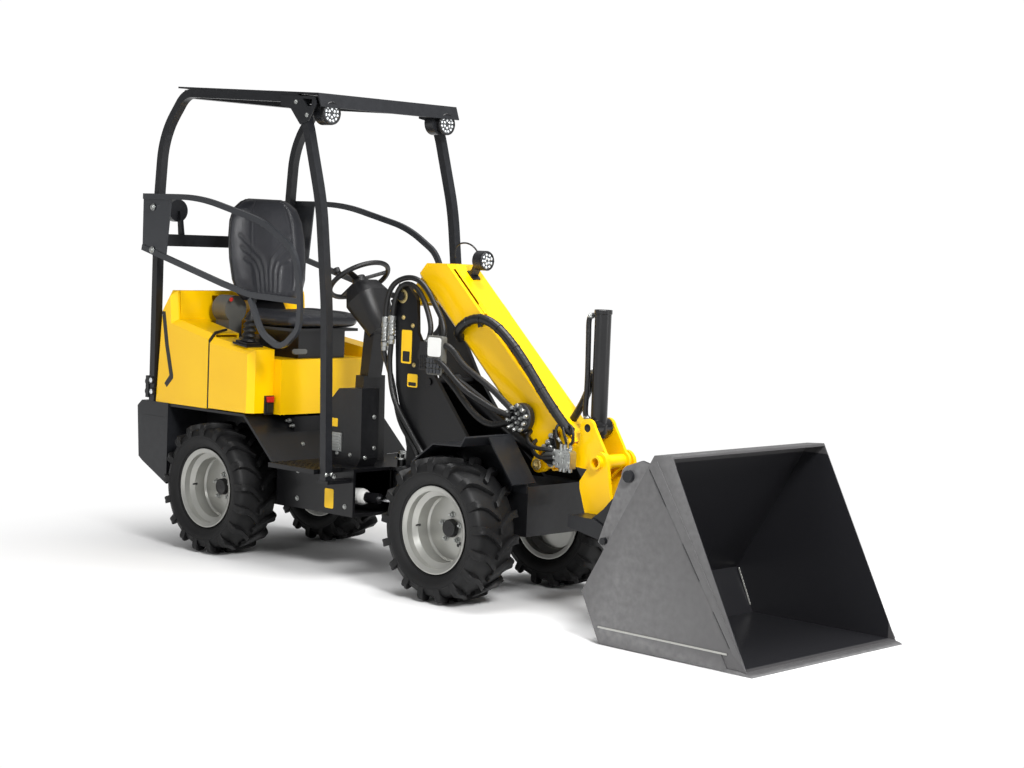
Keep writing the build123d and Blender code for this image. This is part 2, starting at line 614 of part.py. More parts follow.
# Roll-over frame: two bent side hoops tied by cross beams
hoop = [  # centre line in side view, and the bend at each inner corner
    ((45, POST_FOOT_Z), 0), ((14, 1250), 1500), ((-45, 1720), 1200), ((-148, 2065), 500), ((-205, 2207), 40),
    ((-1075, 2250), 130), ((-1250, 2045), 400), ((-1276, 1750), 900), ((-1278, BUMPER_TOP + SEAT_GAP), 0),
]
with BuildPart() as rops:
    for s in (-1, 1):
        with BuildLine(side(s * POST_Y)) as path:
            FilletPolyline([p for p, r in hoop], radius=[r for p, r in hoop[1:-1]])
        with BuildSketch(Plane(origin=path.line @ 0, x_dir=(0, 1, 0), z_dir=path.line % 0)):
            Rectangle(POST, POST)
        sweep(path=path.line)
    for x, z in ((-205, 2203), (-1075, 2245)):
        with BuildSketch(side(0)):
            with Locations((x, z)):
                Rectangle(POST, POST)
        extrude(amount=POST_Y, both=True)
    for s in (-1, 1):
        with BuildSketch(side(s * (POST_Y + POST / 2 - 1))):
            with Locations((BAR_PIVOT_X, BAR_PIVOT_Z)):
                Circle(BAR_PIN_R)
        extrude(amount=-s * (BAR_Y + BAR_T / 2 + 8 - POST_Y - POST / 2))
        with BuildSketch(side(s * (POST_Y + POST / 2 - 1))):
            with Locations((BAR_PIVOT_X, BAR_PIVOT_Z)):
                Circle(BAR_PIN_R + 8)
        extrude(amount=-s * (BAR_Y - BAR_PLATE_T / 2 - 1 - POST_Y - POST / 2))
        with BuildSketch(across(ROOF_LAMP_X)):
            with Locations((s * ROOF_LAMP_Y, ROOF_LAMP_Z)):
                Circle(ROOF_LAMP_R)
        extrude(amount=-55)
        with BuildSketch(side(s * ROOF_LAMP_Y)):
            Polygon((-200, 2215), (ROOF_LAMP_X - 20, ROOF_LAMP_Z + 45), (ROOF_LAMP_X - 45, ROOF_LAMP_Z + 20),
                    (-200, 2195), align=None)
        extrude(amount=16, both=True)
        with BuildSketch(across(-1297)):
            with Locations((s * POST_Y, 780)):
                Rectangle(50, 110)
        extrude(amount=-24)
        with BuildSketch(across(-1297)):
            with Locations((s * POST_Y, 755), (s * POST_Y, 805)):
                Circle(22)
        extrude(amount=-34)
    for s in (-1, 1):
        with BuildSketch(side(s * (POST_Y + POST / 2 - 2))):
            Polygon((-330, 2176), (-256, 2160), (-187, 2085), (-129, 2100), (-77, 2177), (-88, 2212), (-330, 2224), align=None)
            Polygon((-174, 2204), (-106, 2200), (-109, 2168), (-137, 2168), align=None, mode=Mode.SUBTRACT)
        extrude(amount=-s * 6)
write(rops, "rops_frame")
with BuildPart() as roof:
    with BuildSketch(side(0)):
        Polygon((-1120, 2272.8), (-75, 2221), (-50, 2164), (-45, 2166), (-68, 2229), (-1120, 2281), align=None)
    extrude(amount=POST_Y + POST / 2, both=True)
write(roof, "roof")

# Cross tube behind the seat with two rear work lamps
LAMP_R = 57.0
with BuildPart() as lamp_bar:
    with BuildSketch(side(0)):
        with Locations((-1245, 1522)):
            Rectangle(40, 60)
    extrude(amount=POST_Y - POST / 2 - SEAT_GAP, both=True)
    for s in (-1, 1):
        with BuildSketch(side(s * 310)):
            Polygon((-1262, 1550), (-1228, 1550), (-1250, 1670), (-1275, 1670), align=None)
        extrude(amount=8, both=True)
        with BuildSketch(across(-1272)):
            with Locations((s * 310, 1672)):
                Circle(LAMP_R)
        extrude(amount=-40)
write(lamp_bar, "rear_lamp_bar")

# Side safety bars: plate on the hinge pin, upper bar bent down into a loop, lower bar
upper_bar = [
    ((-1352, 1738), 0), ((-900, 1738), 1400), ((-400, 1628), 700), ((-176, 1500), 170), ((-122, 1265), 500),
    ((-135, 1135), 90), ((-256, 1040), 100), ((-400, 1105), 150), ((-490, 1265), 0),
]
lower_bar = [((-1352, 1482), 0), ((-700, 1325), 1000), ((-490, 1282), 600), ((-130, 1268), 0)]
for name, s in (("right", -1), ("left", 1)):
    with BuildPart() as bar:
        for points in (upper_bar, lower_bar):
            with BuildLine(side(s * BAR_Y)) as path:
                FilletPolyline([p for p, r in points], radius=[r for p, r in points[1:-1]])
            with BuildSketch(Plane(origin=path.line @ 0, x_dir=(0, 1, 0), z_dir=path.line % 0)):
                Rectangle(BAR_T, BAR_H)
            sweep(path=path.line)
        with BuildSketch(side(s * BAR_Y)):
            Polygon((-1352, 1745), (-1125, 1735), (-1162, 1430), (-1352, 1478), align=None)
        extrude(amount=BAR_PLATE_T / 2, both=True)
        with BuildSketch(side(s * BAR_Y)):
            with Locations((BAR_PIVOT_X, BAR_PIVOT_Z)):
                Circle(BAR_PIN_R + FIT)
        extrude(amount=BAR_T, both=True, mode=Mode.SUBTRACT)
    write(bar, "safety_bar_" + name)

# Steering column, wheel and the pedal guard
COLUMN_TILT = 36.0
STEER_HUB_X = -242.0
STEER_HUB_Z = 1369.0
STEER_RIM_R = 150.0
column_axis = (-sin(radians(COLUMN_TILT)), 0, cos(radians(COLUMN_TILT)))
hub_plane = Plane(origin=(MID_X + STEER_HUB_X, 0, STEER_HUB_Z), x_dir=(0, 1, 0), z_dir=column_axis)
with BuildPart() as column:
    with BuildSketch(hub_plane.offset(-40)):
        RectangleRounded(150, 130, 40)
    with BuildSketch(hub_plane.offset(-110)):
        RectangleRounded(190, 190, 60)
    loft()
    with BuildSketch(hub_plane.offset(-110)):
        RectangleRounded(190, 190, 60)
    with BuildSketch(hub_plane.offset(-300)):
        RectangleRounded(120, 110, 40)
    loft()
    with BuildSketch(side(0)):
        Polygon((-140, 1170), (-70, 1150), (-110, 905), (-165, 905), align=None)
    extrude(amount=45, both=True)
    with BuildSketch(side(0)):
        Polygon((-165, 915), (-110, 915), (-100, BELLY_TOP + SEAT_GAP), (-190, BELLY_TOP + SEAT_GAP), align=None)
    extrude(amount=70, both=True)
    with BuildSketch(hub_plane.offset(-60)):
        Circle(15)
    extrude(amount=40)
write(column, "steering_column")
with BuildPart() as steering:
    with BuildSketch(Plane(origin=hub_plane.origin + hub_plane.x_dir * STEER_RIM_R, x_dir=hub_plane.x_dir,
                           z_dir=hub_plane.y_dir)):
        Circle(12)
    revolve(axis=Axis(hub_plane.origin, hub_plane.z_dir))
    with BuildSketch(hub_plane.offset(-19.7)):
        Circle(34)
    extrude(amount=30)
    with BuildSketch(hub_plane):
        with PolarLocations(STEER_RIM_R / 2, 3, 90):
            Rectangle(STEER_RIM_R - 4, 26)
    extrude(amount=4, both=True)
    knob_at = (STEER_RIM_R * cos(radians(190)), STEER_RIM_R * sin(radians(190)))
    for low, high, r in ((0, 26, 8), (20, 44, 17)):
        with BuildSketch(hub_plane.offset(low)):
            with Locations(knob_at):
                Circle(r)
        extrude(amount=high - low)
write(steering, "steering_wheel")
with BuildPart() as guard:
    with BuildSketch(side(-105)):
        Polygon((-160, BELLY_TOP + SEAT_GAP), (-170, 810), (-120, 860), (40, 870), (45, 540),
                (20, BELLY_TOP + SEAT_GAP), align=None)
    extrude(amount=110)
write(guard, "pedal_guard")

# Front frame: hollow box, neck to the pivot pin, tower plates and the boom pin
with BuildPart() as front:
    with BuildSketch(side(0)):
        Polygon((CHASSIS_REAR_X, CHASSIS_BOTTOM), (CHASSIS_FRONT_X, CHASSIS_BOTTOM + 60),
                (CHASSIS_FRONT_X, CHASSIS_TOP), (CHASSIS_REAR_X, CHASSIS_TOP), align=None)
    extrude(amount=CHASSIS_HALF, both=True)
    with BuildSketch(side(0)):
        Polygon((CHASSIS_REAR_X + PLATE, CHASSIS_BOTTOM + PLATE), (CHASSIS_FRONT_X - PLATE, CHASSIS_BOTTOM + 75),
                (CHASSIS_FRONT_X - PLATE, CHASSIS_TOP - PLATE), (CHASSIS_REAR_X + PLATE, CHASSIS_TOP - PLATE),
                align=None)
    extrude(amount=CHASSIS_HALF - PLATE, both=True, mode=Mode.SUBTRACT)
    with BuildSketch(side(0)):
        with Locations((AXLE_X, TYRE_R)):
            Circle(BORE_R)
    extrude(amount=CHASSIS_HALF + 1, both=True, mode=Mode.SUBTRACT)
    with BuildSketch(side(0)):
        Polygon((175, 1300), (175, 1330), (200, 1370), (250, 1370), (322, 1300), (332, 1150), (459, 950),
                (675, 700), (900, CHASSIS_TOP), (CHASSIS_REAR_X, CHASSIS_TOP), (CHASSIS_REAR_X, 620),
                (200, 900), align=None)
    extrude(amount=TOWER_OUT, both=True)
    with BuildSketch(side(0)):
        Polygon((100, CHASSIS_TOP), (100, 1500), (1000, 1500), (1000, CHASSIS_TOP), align=None)
    extrude(amount=TOWER_IN, both=True, mode=Mode.SUBTRACT)
    with BuildSketch(side(0)):
        Polygon((CHASSIS_REAR_X, CHASSIS_TOP), (CHASSIS_REAR_X, 640), (225, 900), (237, 900),
                (CHASSIS_REAR_X + 12, 640), (CHASSIS_REAR_X + 12, CHASSIS_TOP), align=None)
    extrude(amount=TOWER_IN, both=True)
    for x, z, r, half in ((BOOM_PIVOT_X, BOOM_PIVOT_Z, BOOM_PIN_R, TOWER_OUT + 14), (LIFT_FOOT_X, LIFT_FOOT_Z, 17, TOWER_OUT + 8)):
        with BuildSketch(side(0)):
            with Locations((x, z)):
                Circle(r)
        extrude(amount=half, both=True)
    NECK_LOW = BELLY_BOTTOM + PLATE + NECK_GAP
    NECK_HIGH = BELLY_TOP - PLATE - NECK_GAP
    with BuildSketch(level(NECK_LOW)):
        with Locations((STEER_X, 0)):
            Circle(NECK_R)
        with Locations(((STEER_X + CHASSIS_REAR_X) / 2 + 5, 0)):
            Rectangle(CHASSIS_REAR_X - STEER_X + 10, 2 * NECK_HALF)
        with Locations((STEER_X, 0)):
            Circle(PIN_R + FIT, mode=Mode.SUBTRACT)
    extrude(amount=NECK_HIGH - NECK_LOW)
    for z in (STEER_Z - 28, STEER_Z + 16):
        with BuildSketch(level(z)):
            with Locations(STEER_EYE):
                Circle(24)
            with Locations((STEER_EYE[0] + 15, STEER_EYE[1])):
                Rectangle(30, 48)
        extrude(amount=12)
    with BuildSketch(level(STEER_Z - 16)):
        with Locations((CHASSIS_REAR_X + PLATE / 2, STEER_EYE[1] - 12)):
            Rectangle(PLATE + 2, 92)
    extrude(amount=32, mode=Mode.SUBTRACT)
write(front, "front_chassis")

# Hydraulic coupler block on the tower's right plate
with BuildPart() as coupler:
    with BuildSketch(side(-TOWER_OUT - SEAT_GAP)):
        Polygon((345, 1035), (345, 1065), (372, 1098), (425, 1098), (425, 1010), (378, 1010), align=None)
    extrude(amount=8)
    with BuildSketch(side(-TOWER_OUT - 7)):
        Polygon((392, 985), (392, 1106), (400, 1115), (437, 1115), (445, 1106), (445, 985), align=None)
    extrude(amount=36)
    for row in range(4):
        for column_x in (402, 413, 424, 435):
            with BuildSketch(side(-TOWER_OUT - 42)):
                with Locations((column_x, 1000 + 16 * row)):
                    Rectangle(7, 10)
            extrude(amount=4)
write(coupler, "coupler_block")
for name, s in (("right", -1), ("left", 1)):
    with BuildPart() as fender:
        with BuildSketch(side(s * (CHASSIS_HALF - 4))):
            Polygon((628, 606), (756, 697), (925, 704), (950, 744), (955, 738), (928, 698), (758, 691),
                    (632, 601), align=None)
        extrude(amount=-s * 249)
        with BuildSketch(side(s * (TOWER_OUT + SEAT_GAP))):
            Polygon((948, 744), (1105, 545), (1100, 540), (943, 739), align=None)
        extrude(amount=-s * 150)
        with BuildSketch(side(s * (CHASSIS_HALF + SEAT_GAP))):
            Polygon((632, 601), (756, 694), (925, 701), (950, 740), (1102, 545), (1102, 500), (632, 500), align=None)
        extrude(amount=-s * 5)
    write(fender, "fender_" + name)

# Boom: bevelled box with a level cut at its upper rear corner
a = radians(BOOM_ANGLE)
cut_s = (BOOM_TOP * cos(a) - (BOOM_CUT_Z - BOOM_PIVOT_Z)) / sin(a)
cut_n = (BOOM_CUT_Z - BOOM_PIVOT_Z + BOOM_REAR * sin(a)) / cos(a)
with BuildPart() as boom:
    with BuildSketch(boom_side(0)):
        Polygon((BOOM_REAR, BOOM_BOTTOM), (BOOM_REAR, cut_n), (cut_s, BOOM_TOP), (BOOM_END, BOOM_TOP),
                (BOOM_END, BOOM_BOTTOM), align=None)
    extrude(amount=BOOM_HALF, both=True)
    chamfer(boom.edges().filter_by(lambda e: e.length > 900), BOOM_BEVEL)
    with BuildSketch(boom_side(0)):
        Polygon((60, BOOM_BOTTOM + BOOM_WALL), (60, 240), (100, BOOM_TOP - BOOM_WALL),
                (BOOM_END + 1, BOOM_TOP - BOOM_WALL), (BOOM_END + 1, BOOM_BOTTOM + BOOM_WALL), align=None)
    extrude(amount=BOOM_HALF - BOOM_WALL, both=True, mode=Mode.SUBTRACT)
    with BuildSketch(boom_side(0)):
        Circle(45)
        Polygon((BOOM_REAR, BOOM_BOTTOM + 4), (-44, 0), (44, 0), (120, BOOM_BOTTOM + 4), align=None)
        Circle(BOOM_PIN_R + FIT, mode=Mode.SUBTRACT)
    extrude(amount=LUG_HALF, both=True)
    with BuildSketch(boom_side(0)):
        with Locations((LIFT_EYE_S, LIFT_EYE_N)):
            Circle(36)
        Polygon((LIFT_EYE_S - 70, BOOM_BOTTOM + 3), (LIFT_EYE_S - 34, LIFT_EYE_N), (LIFT_EYE_S + 34, LIFT_EYE_N),
                (LIFT_EYE_S + 50, BOOM_BOTTOM + 3), align=None)
    extrude(amount=BOOM_HALF - 4, both=True)
    with BuildSketch(boom_side(0)):
        Polygon((LIFT_EYE_S - 90, BOOM_BOTTOM), (LIFT_EYE_S - 90, -20), (LIFT_EYE_S + 60, -20),
                (LIFT_EYE_S + 60, BOOM_BOTTOM), align=None)
    extrude(amount=50, both=True, mode=Mode.SUBTRACT)
    for s in (-1, 1):
        with BuildSketch(boom_side(s * 30)):
            with Locations((LIFT_EYE_S, LIFT_EYE_N)):
                Circle(17)
        extrude(amount=-s * (BOOM_HALF + 20 - 30))
    with BuildSketch(boom_side(-BOOM_HALF - 1)):
        with Locations((BOOM_END - 66, 182)):
            RegularPolygon(32, 4)
        with Locations((BOOM_END - 77, 245)):
            Circle(14)
    extrude(amount=-BOOM_WALL - 2, mode=Mode.SUBTRACT)
write(boom, "boom")

# Valve block beside the boom's end, on a plate screwed to the boom's right wall
VALVE_Y = CHEEK_OUT + 6
with BuildPart() as valve:
    with BuildSketch(boom_side(-BOOM_HALF - SEAT_GAP)):
        with Locations((BOOM_END - 33, 131)):
            Rectangle(63, 32)
    extrude(amount=VALVE_Y - BOOM_HALF - SEAT_GAP)
    with BuildSketch(side(-VALVE_Y)):
        Polygon(boom_point(BOOM_END - 65, 116), boom_point(BOOM_END - 4, 116), (1210, 640), (1210, 690),
                boom_point(BOOM_END - 65, 146), align=None)
    extrude(amount=8)
    with BuildSketch(side(-VALVE_Y)):
        Polygon((1205, 622), (1290, 622), (1290, 690), (1280, 700), (1205, 700), align=None)
    extrude(amount=40)
    for x, z, low, high in ((1222, 0, 606, 724), (1248, -6, 606, 724), (1272, 4, 606, 720)):
        with BuildSketch(level(low)):
            with Locations((x, z - VALVE_Y - 20)):
                Circle(9)
        extrude(amount=high - low)
    for x, z in ((1226, 680), (1258, 680), (1242, 648), (1274, 648)):
        with BuildSketch(side(-VALVE_Y - 39)):
            with Locations((x, z)):
                RegularPolygon(9, 6)
        extrude(amount=9)
write(valve, "valve_block")

# Work lamp on the boom
with BuildPart() as lamp:
    with BuildSketch(boom_side(0)):
        Polygon((122, BOOM_TOP + SEAT_GAP), (122, BOOM_TOP + 7), (138, BOOM_TOP + 7), (128, BOOM_TOP + 60),
                (140, BOOM_TOP + 62), (152, BOOM_TOP + 7), (176, BOOM_TOP + 7), (176, BOOM_TOP + SEAT_GAP), align=None)
    extrude(amount=24, both=True)
    lamp_x, lamp_z = boom_point(141, BOOM_TOP + 90)
    with BuildSketch(across(lamp_x + 24)):
        with Locations((0, lamp_z)):
            Circle(45)
    extrude(amount=-48)
write(lamp, "boom_lamp")

# Boom head: inner box with sliding pads, and two plates with the trunnion and carrier bosses
with BuildPart() as head:
    with BuildSketch(boom_side(0)):
        with Locations(((INNER_REAR + BOOM_END - 40) / 2, (INNER_BOTTOM + INNER_TOP) / 2)):
            Rectangle(BOOM_END - 40 - INNER_REAR, INNER_TOP - INNER_BOTTOM)
    extrude(amount=INNER_HALF, both=True)
    with BuildSketch(boom_side(0)):
        with Locations((INNER_REAR + 30, (BOOM_BOTTOM + BOOM_TOP) / 2)):
            Rectangle(60, BOOM_TOP - BOOM_BOTTOM - 2 * BOOM_WALL - 2 * SEAT_GAP)
    extrude(amount=BOOM_HALF - BOOM_WALL - SEAT_GAP, both=True)
    with BuildSketch(boom_side(0)):
        with Locations(((INNER_REAR + BOOM_END) / 2, (INNER_BOTTOM + INNER_TOP) / 2)):
            Rectangle(BOOM_END - INNER_REAR + 10, INNER_TOP - INNER_BOTTOM - 2 * INNER_WALL)
    extrude(amount=INNER_HALF - INNER_WALL, both=True, mode=Mode.SUBTRACT)
    low_rear = boom_point(BOOM_END - 60, INNER_BOTTOM)
    low_front = boom_point(BOOM_END - 40, INNER_BOTTOM)
    high_rear = boom_point(BOOM_END - 60, INNER_TOP)
    high_front = boom_point(BOOM_END + 10, INNER_TOP)
    above = boom_point(BOOM_END + 10, BOOM_TOP + 14)
    for s in (-1, 1):
        with BuildSketch(side(s * (INNER_HALF - INNER_WALL))):
            Polygon(low_rear, low_front, (CARRIER_X - 14, CARRIER_Z - BOSS_R), (CARRIER_X + BOSS_R, CARRIER_Z),
                    (TILT_PIN_X + 40, TILT_PIN_Z + 8), (TILT_PIN_X - 38, TILT_PIN_Z + 10), above, high_front,
                    high_rear, align=None)
            with Locations((CARRIER_X, CARRIER_Z)):
                Circle(BOSS_R)
            with Locations((TILT_PIN_X, TILT_PIN_Z)):
                Circle(40)
            with Locations((CARRIER_X, CARRIER_Z)):
                Circle(CARRIER_TUBE_R + FIT, mode=Mode.SUBTRACT)
            with Locations((TILT_PIN_X, TILT_PIN_Z)):
                Circle(18 + FIT, mode=Mode.SUBTRACT)
        extrude(amount=-s * INNER_WALL)
write(head, "boom_head")


def cylinder(name, axis, run, barrel_r, rod_r, tube, foot, rod_start, eye):
    """A hydraulic cylinder as barrel and rod. The first axis of the plane runs from the foot's
    pin to the rod's eye, run is the distance, tube gives the barrel's two ends on it, foot and eye
    the radius and half width of the two bosses, and foot the pin's radius and reach beside it."""
    section = Plane(origin=axis.origin, x_dir=axis.y_dir, z_dir=axis.x_dir)
    foot_r, foot_half, pin_r, stub = foot
    eye_r, eye_half = eye
    with BuildPart() as barrel:
        with BuildSketch(section.offset(tube[0])):
            Circle(barrel_r)
        extrude(amount=tube[1] - tube[0])
        with BuildSketch(axis):
            Circle(foot_r)
        extrude(amount=foot_half, both=True)
        if stub:
            with BuildSketch(axis):
                Circle(pin_r)
            extrude(amount=stub, both=True)
        else:
            with BuildSketch(axis):
                Circle(pin_r + FIT)
            extrude(amount=barrel_r + foot_half, both=True, mode=Mode.SUBTRACT)
        start = tube[0] + 25
        with BuildSketch(section.offset(start)):
            Circle(barrel_r - 7)
        extrude(amount=tube[1] - 35 - start, mode=Mode.SUBTRACT)
        with BuildSketch(section.offset(tube[1] - 36)):
            Circle(rod_r + FIT)
        extrude(amount=37, mode=Mode.SUBTRACT)
    write(barrel, name + "_barrel")
    with BuildPart() as rod:
        with BuildSketch(section.offset(rod_start)):
            Circle(rod_r)
        extrude(amount=run - rod_start)
        with BuildSketch(axis.shift_origin(axis.origin + axis.x_dir * run)):
            Circle(eye_r)
        extrude(amount=eye_half, both=True)
    write(rod, name + "_rod")


lift_axis = along(LIFT_FOOT_X, LIFT_FOOT_Z, LIFT_EYE_X, LIFT_EYE_Z)
lift_run = hypot(LIFT_EYE_X - LIFT_FOOT_X, LIFT_EYE_Z - LIFT_FOOT_Z)
cylinder("lift", lift_axis, lift_run, 36, 18, (24, 660), (36, 30, 17, 0), 52, (30, 26))
tilt_axis = along(TILT_PIN_X, TILT_PIN_Z, TILT_EYE_X, TILT_EYE_Z)
tilt_run = hypot(TILT_EYE_X - TILT_PIN_X, TILT_EYE_Z - TILT_PIN_Z)
cylinder("tilt", tilt_axis, tilt_run, 36, 14, (-508, 45), (40, 50, 18, INNER_HALF - 2), -300, (27, 24))
steer_run = hypot(STEER_EYE[0] - STEER_FOOT[0], STEER_EYE[1] - STEER_FOOT[1])
steer_dir = ((STEER_EYE[0] - STEER_FOOT[0]) / steer_run, (STEER_EYE[1] - STEER_FOOT[1]) / steer_run, 0)
steer_axis = Plane(origin=(MID_X + STEER_FOOT[0], STEER_FOOT[1], STEER_Z), x_dir=steer_dir, z_dir=(0, 0, 1))
cylinder("steering", steer_axis, steer_run, 25, 12, (18, 318), (26, 20, STEER_POST_R, 0), 166, (22, 12))

# Tool carrier: two cheeks on a hollow hinge tube, and the frame with hook tube and lock pins
with BuildPart() as carrier:
    for s in (-1, 1):
        with BuildSketch(side(s * CHEEK_IN)):
            Polygon((CARRIER_X - 38, CARRIER_Z), (CHEEK_REAR_X - 2, CARRIER_Z - 90), (CHEEK_REAR_X, CARRIER_Z - 122),
                    (CHEEK_REAR_X + 34, CHEEK_LOW), (CARRIER_X + 88, CHEEK_LOW), (CARRIER_X + 48, CARRIER_Z + 10),
                    align=None)
            with Locations((CARRIER_X, CARRIER_Z)):
                Circle(BOSS_R + 4)
        extrude(amount=-s * (CHEEK_OUT - CHEEK_IN))
        with BuildSketch(side(s * LEVER_IN)):
            with BuildLine():
                Polyline((CARRIER_X - 22, CARRIER_Z + 24), (TILT_EYE_X - 17, TILT_EYE_Z + 17), (TILT_EYE_X + 18, TILT_EYE_Z - 16),
                         (CARRIER_X + 24, CARRIER_Z - 20), close=True)
            make_face()
            with Locations((TILT_EYE_X, TILT_EYE_Z)):
                Circle(LEVER_R)
        extrude(amount=-s * LEVER_T)
        with BuildSketch(side(s * (LEVER_IN + LEVER_T / 2))):
            with Locations((TILT_EYE_X, TILT_EYE_Z)):
                Circle(TILT_PIN_R)
        extrude(amount=-s * (LEVER_T / 2 + 6))
    with BuildSketch(side(0)):
        with Locations((CARRIER_X, CARRIER_Z)):
            Circle(CARRIER_TUBE_R)
    extrude(amount=CHEEK_OUT + 22, both=True)
    with BuildSketch(side(0)):
        with Locations((CARRIER_X, CARRIER_Z)):
            Circle(CARRIER_BORE_R)
    extrude(amount=CHEEK_OUT + 30, both=True, mode=Mode.SUBTRACT)
write(carrier, "tool_carrier")
with BuildPart() as frame:
    with BuildSketch(side(0)):
        Polygon((CHEEK_REAR_X + 44, CHEEK_LOW - SEAT_GAP), (CHEEK_REAR_X + 44, CHEEK_LOW - 50), (LOCK_X + 20, LOCK_Z - 25),
                (LOCK_X + 32, LOCK_Z + 20), (CARRIER_X + 88, CHEEK_LOW - SEAT_GAP), align=None)
    extrude(amount=FRAME_HALF - 60, both=True)
    for s in (-1, 1):
        with BuildSketch(side(s * 190)):
            Polygon((CARRIER_X + 30, CHEEK_LOW - 30), (LOCK_X + 30, LOCK_Z), (HOOK_X + 20, HOOK_Z - 10), (HOOK_X, HOOK_Z + 30),
                    (HOOK_X - 26, HOOK_Z), (LOCK_X - 60, LOCK_Z + 120), align=None)
        extrude(amount=-s * 16)
    with BuildSketch(side(0)):
        with Locations((HOOK_X, HOOK_Z)):
            Circle(HOOK_R)
        with Locations((LOCK_X, LOCK_Z)):
            Circle(LOCK_R)
    extrude(amount=FRAME_HALF, both=True)
write(frame, "quick_hitch")

# Bucket
with BuildPart() as bucket:
    outline = [(LIP_REAR_X, LIP_Z - 6), (LIP_X, LIP_Z), (FRONT_X - 28, 6), (FLOOR_REAR_X, 0), (HEEL_X, HEEL_Z)]
    with BuildSketch(side(0)):
        Polygon(*outline, align=None)
    extrude(amount=BUCKET_HALF - STRIP_T, both=True)
    with BuildSketch(side(0)):
        Polygon((LIP_REAR_X + SHEET, LIP_Z - 14), (LIP_X + 40, LIP_Z - 10), (FRONT_X + 60, 6), (FRONT_X + 60, EDGE_T), (FLOOR_REAR_X + 6, EDGE_T),
                (HEEL_X + 9, HEEL_Z + 2), align=None)
    extrude(amount=BUCKET_HALF - STRIP_T - SHEET, both=True, mode=Mode.SUBTRACT)
    with BuildSketch(side(0)):
        Polygon((FRONT_X - 150, 0), (FRONT_X, 0), (FRONT_X - 10, 6), (FRONT_X - 60, EDGE_T), (FRONT_X - 150, EDGE_T), align=None)
    extrude(amount=BUCKET_HALF, both=True)
    for s in (-1, 1):
        with BuildSketch(side(s * (BUCKET_HALF - STRIP_T - 1))):
            Polygon((FLOOR_REAR_X + 2, 4), (FLOOR_REAR_X - 14, 36), (FLOOR_REAR_X + 8, 66), (FRONT_X - 150, 66),
                    (FRONT_X - 118, 12), (FRONT_X - 150, 4), align=None)
        extrude(amount=-s * (STRIP_T + 1))
    for s in (-1, 1):
        with BuildSketch(side(s * (HOOK_Y - HOOK_T / 2))):
            Polygon((HOOK_X - 10, HOOK_Z + 44), (HOOK_X + 60, HOOK_Z + 70), (1985, 674), (HEEL_X + 20, HEEL_Z + 14), (LOCK_X + 4, LOCK_Z - 40),
                    (LOCK_X - 36, LOCK_Z - 8), (LOCK_X - 20, LOCK_Z + 36), (HOOK_X - 44, HOOK_Z), align=None)
            with Locations((HOOK_X, HOOK_Z)):
                Circle(HOOK_R + 20)
            with Locations((HOOK_X, HOOK_Z)):
                Circle(HOOK_R + SEAT_GAP, mode=Mode.SUBTRACT)
            with Locations((LOCK_X, LOCK_Z)):
                Circle(LOCK_R + SEAT_GAP, mode=Mode.SUBTRACT)
        extrude(amount=-s * HOOK_T)
write(bucket, "bucket")
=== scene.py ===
from math import cos, pi, radians, sin

import bmesh
import bpy
from mathutils import Matrix, Vector


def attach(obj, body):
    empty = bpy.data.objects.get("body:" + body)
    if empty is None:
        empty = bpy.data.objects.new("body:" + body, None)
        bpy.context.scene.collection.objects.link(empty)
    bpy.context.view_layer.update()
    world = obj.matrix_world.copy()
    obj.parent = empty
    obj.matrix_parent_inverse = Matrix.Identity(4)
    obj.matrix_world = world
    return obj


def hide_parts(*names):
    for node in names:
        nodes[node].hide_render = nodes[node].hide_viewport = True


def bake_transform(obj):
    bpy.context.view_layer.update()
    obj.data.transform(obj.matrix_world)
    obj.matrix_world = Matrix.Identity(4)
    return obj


# Looks of a compact articulated wheel loader. Lengths below are millimetres from the middle of
# the wheelbase, +X forwards, +Y left, +Z up, and p() turns them into the row frame in metres.
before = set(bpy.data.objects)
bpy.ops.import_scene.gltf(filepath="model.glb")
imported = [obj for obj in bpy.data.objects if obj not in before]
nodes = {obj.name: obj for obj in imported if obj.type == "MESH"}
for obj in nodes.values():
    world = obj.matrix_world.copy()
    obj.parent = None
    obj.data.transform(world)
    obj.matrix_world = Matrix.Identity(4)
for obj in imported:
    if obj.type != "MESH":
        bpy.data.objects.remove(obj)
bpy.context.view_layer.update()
SHIFT = -586.5                # row frame's x of the middle of the wheelbase
RIGHT, AHEAD, UP = (0, -1, 0), (1, 0, 0), (0, 0, 1)
FRONT, REAR, BOOM = "front_frame", "rear_frame", "boom_outer"    # the bodies that carry most pieces


def p(x, y, z):
    """A place in millimetres as a point of the row frame in metres."""
    return Vector(((x + SHIFT) / 1000, y / 1000, z / 1000))


# Materials

WEAR_FROM, WEAR_FULL = 0.53, 0.60    # pointiness where worn paint begins and where it is full
ROUGH_SPREAD = 0.15                  # how far the fine grain changes the roughness


def srgb(r, g, b):
    """A linear colour from the usual 0 to 255 values."""
    def lin(c):
        c /= 255
        return c / 12.92 if c <= 0.04045 else ((c + 0.055) / 1.055) ** 2.4
    return (lin(r), lin(g), lin(b), 1)


def maths(tree, kind, a, b):
    """A maths node; a and b are sockets or numbers."""
    made = tree.nodes.new("ShaderNodeMath")
    made.operation = kind
    for socket, value in zip(made.inputs, (a, b)):
        if isinstance(value, (int, float)):
            socket.default_value = value
        else:
            tree.links.new(value, socket)
    return made.outputs[0]


def tinted(tree, amount, base, colour):
    """A base colour's socket moved towards another colour by an amount."""
    mix = tree.nodes.new("ShaderNodeMix")
    mix.data_type = "RGBA"
    mix.inputs["B"].default_value = colour
    tree.links.new(amount, mix.inputs["Factor"])
    tree.links.new(base, mix.inputs["A"])
    return mix.outputs["Result"]


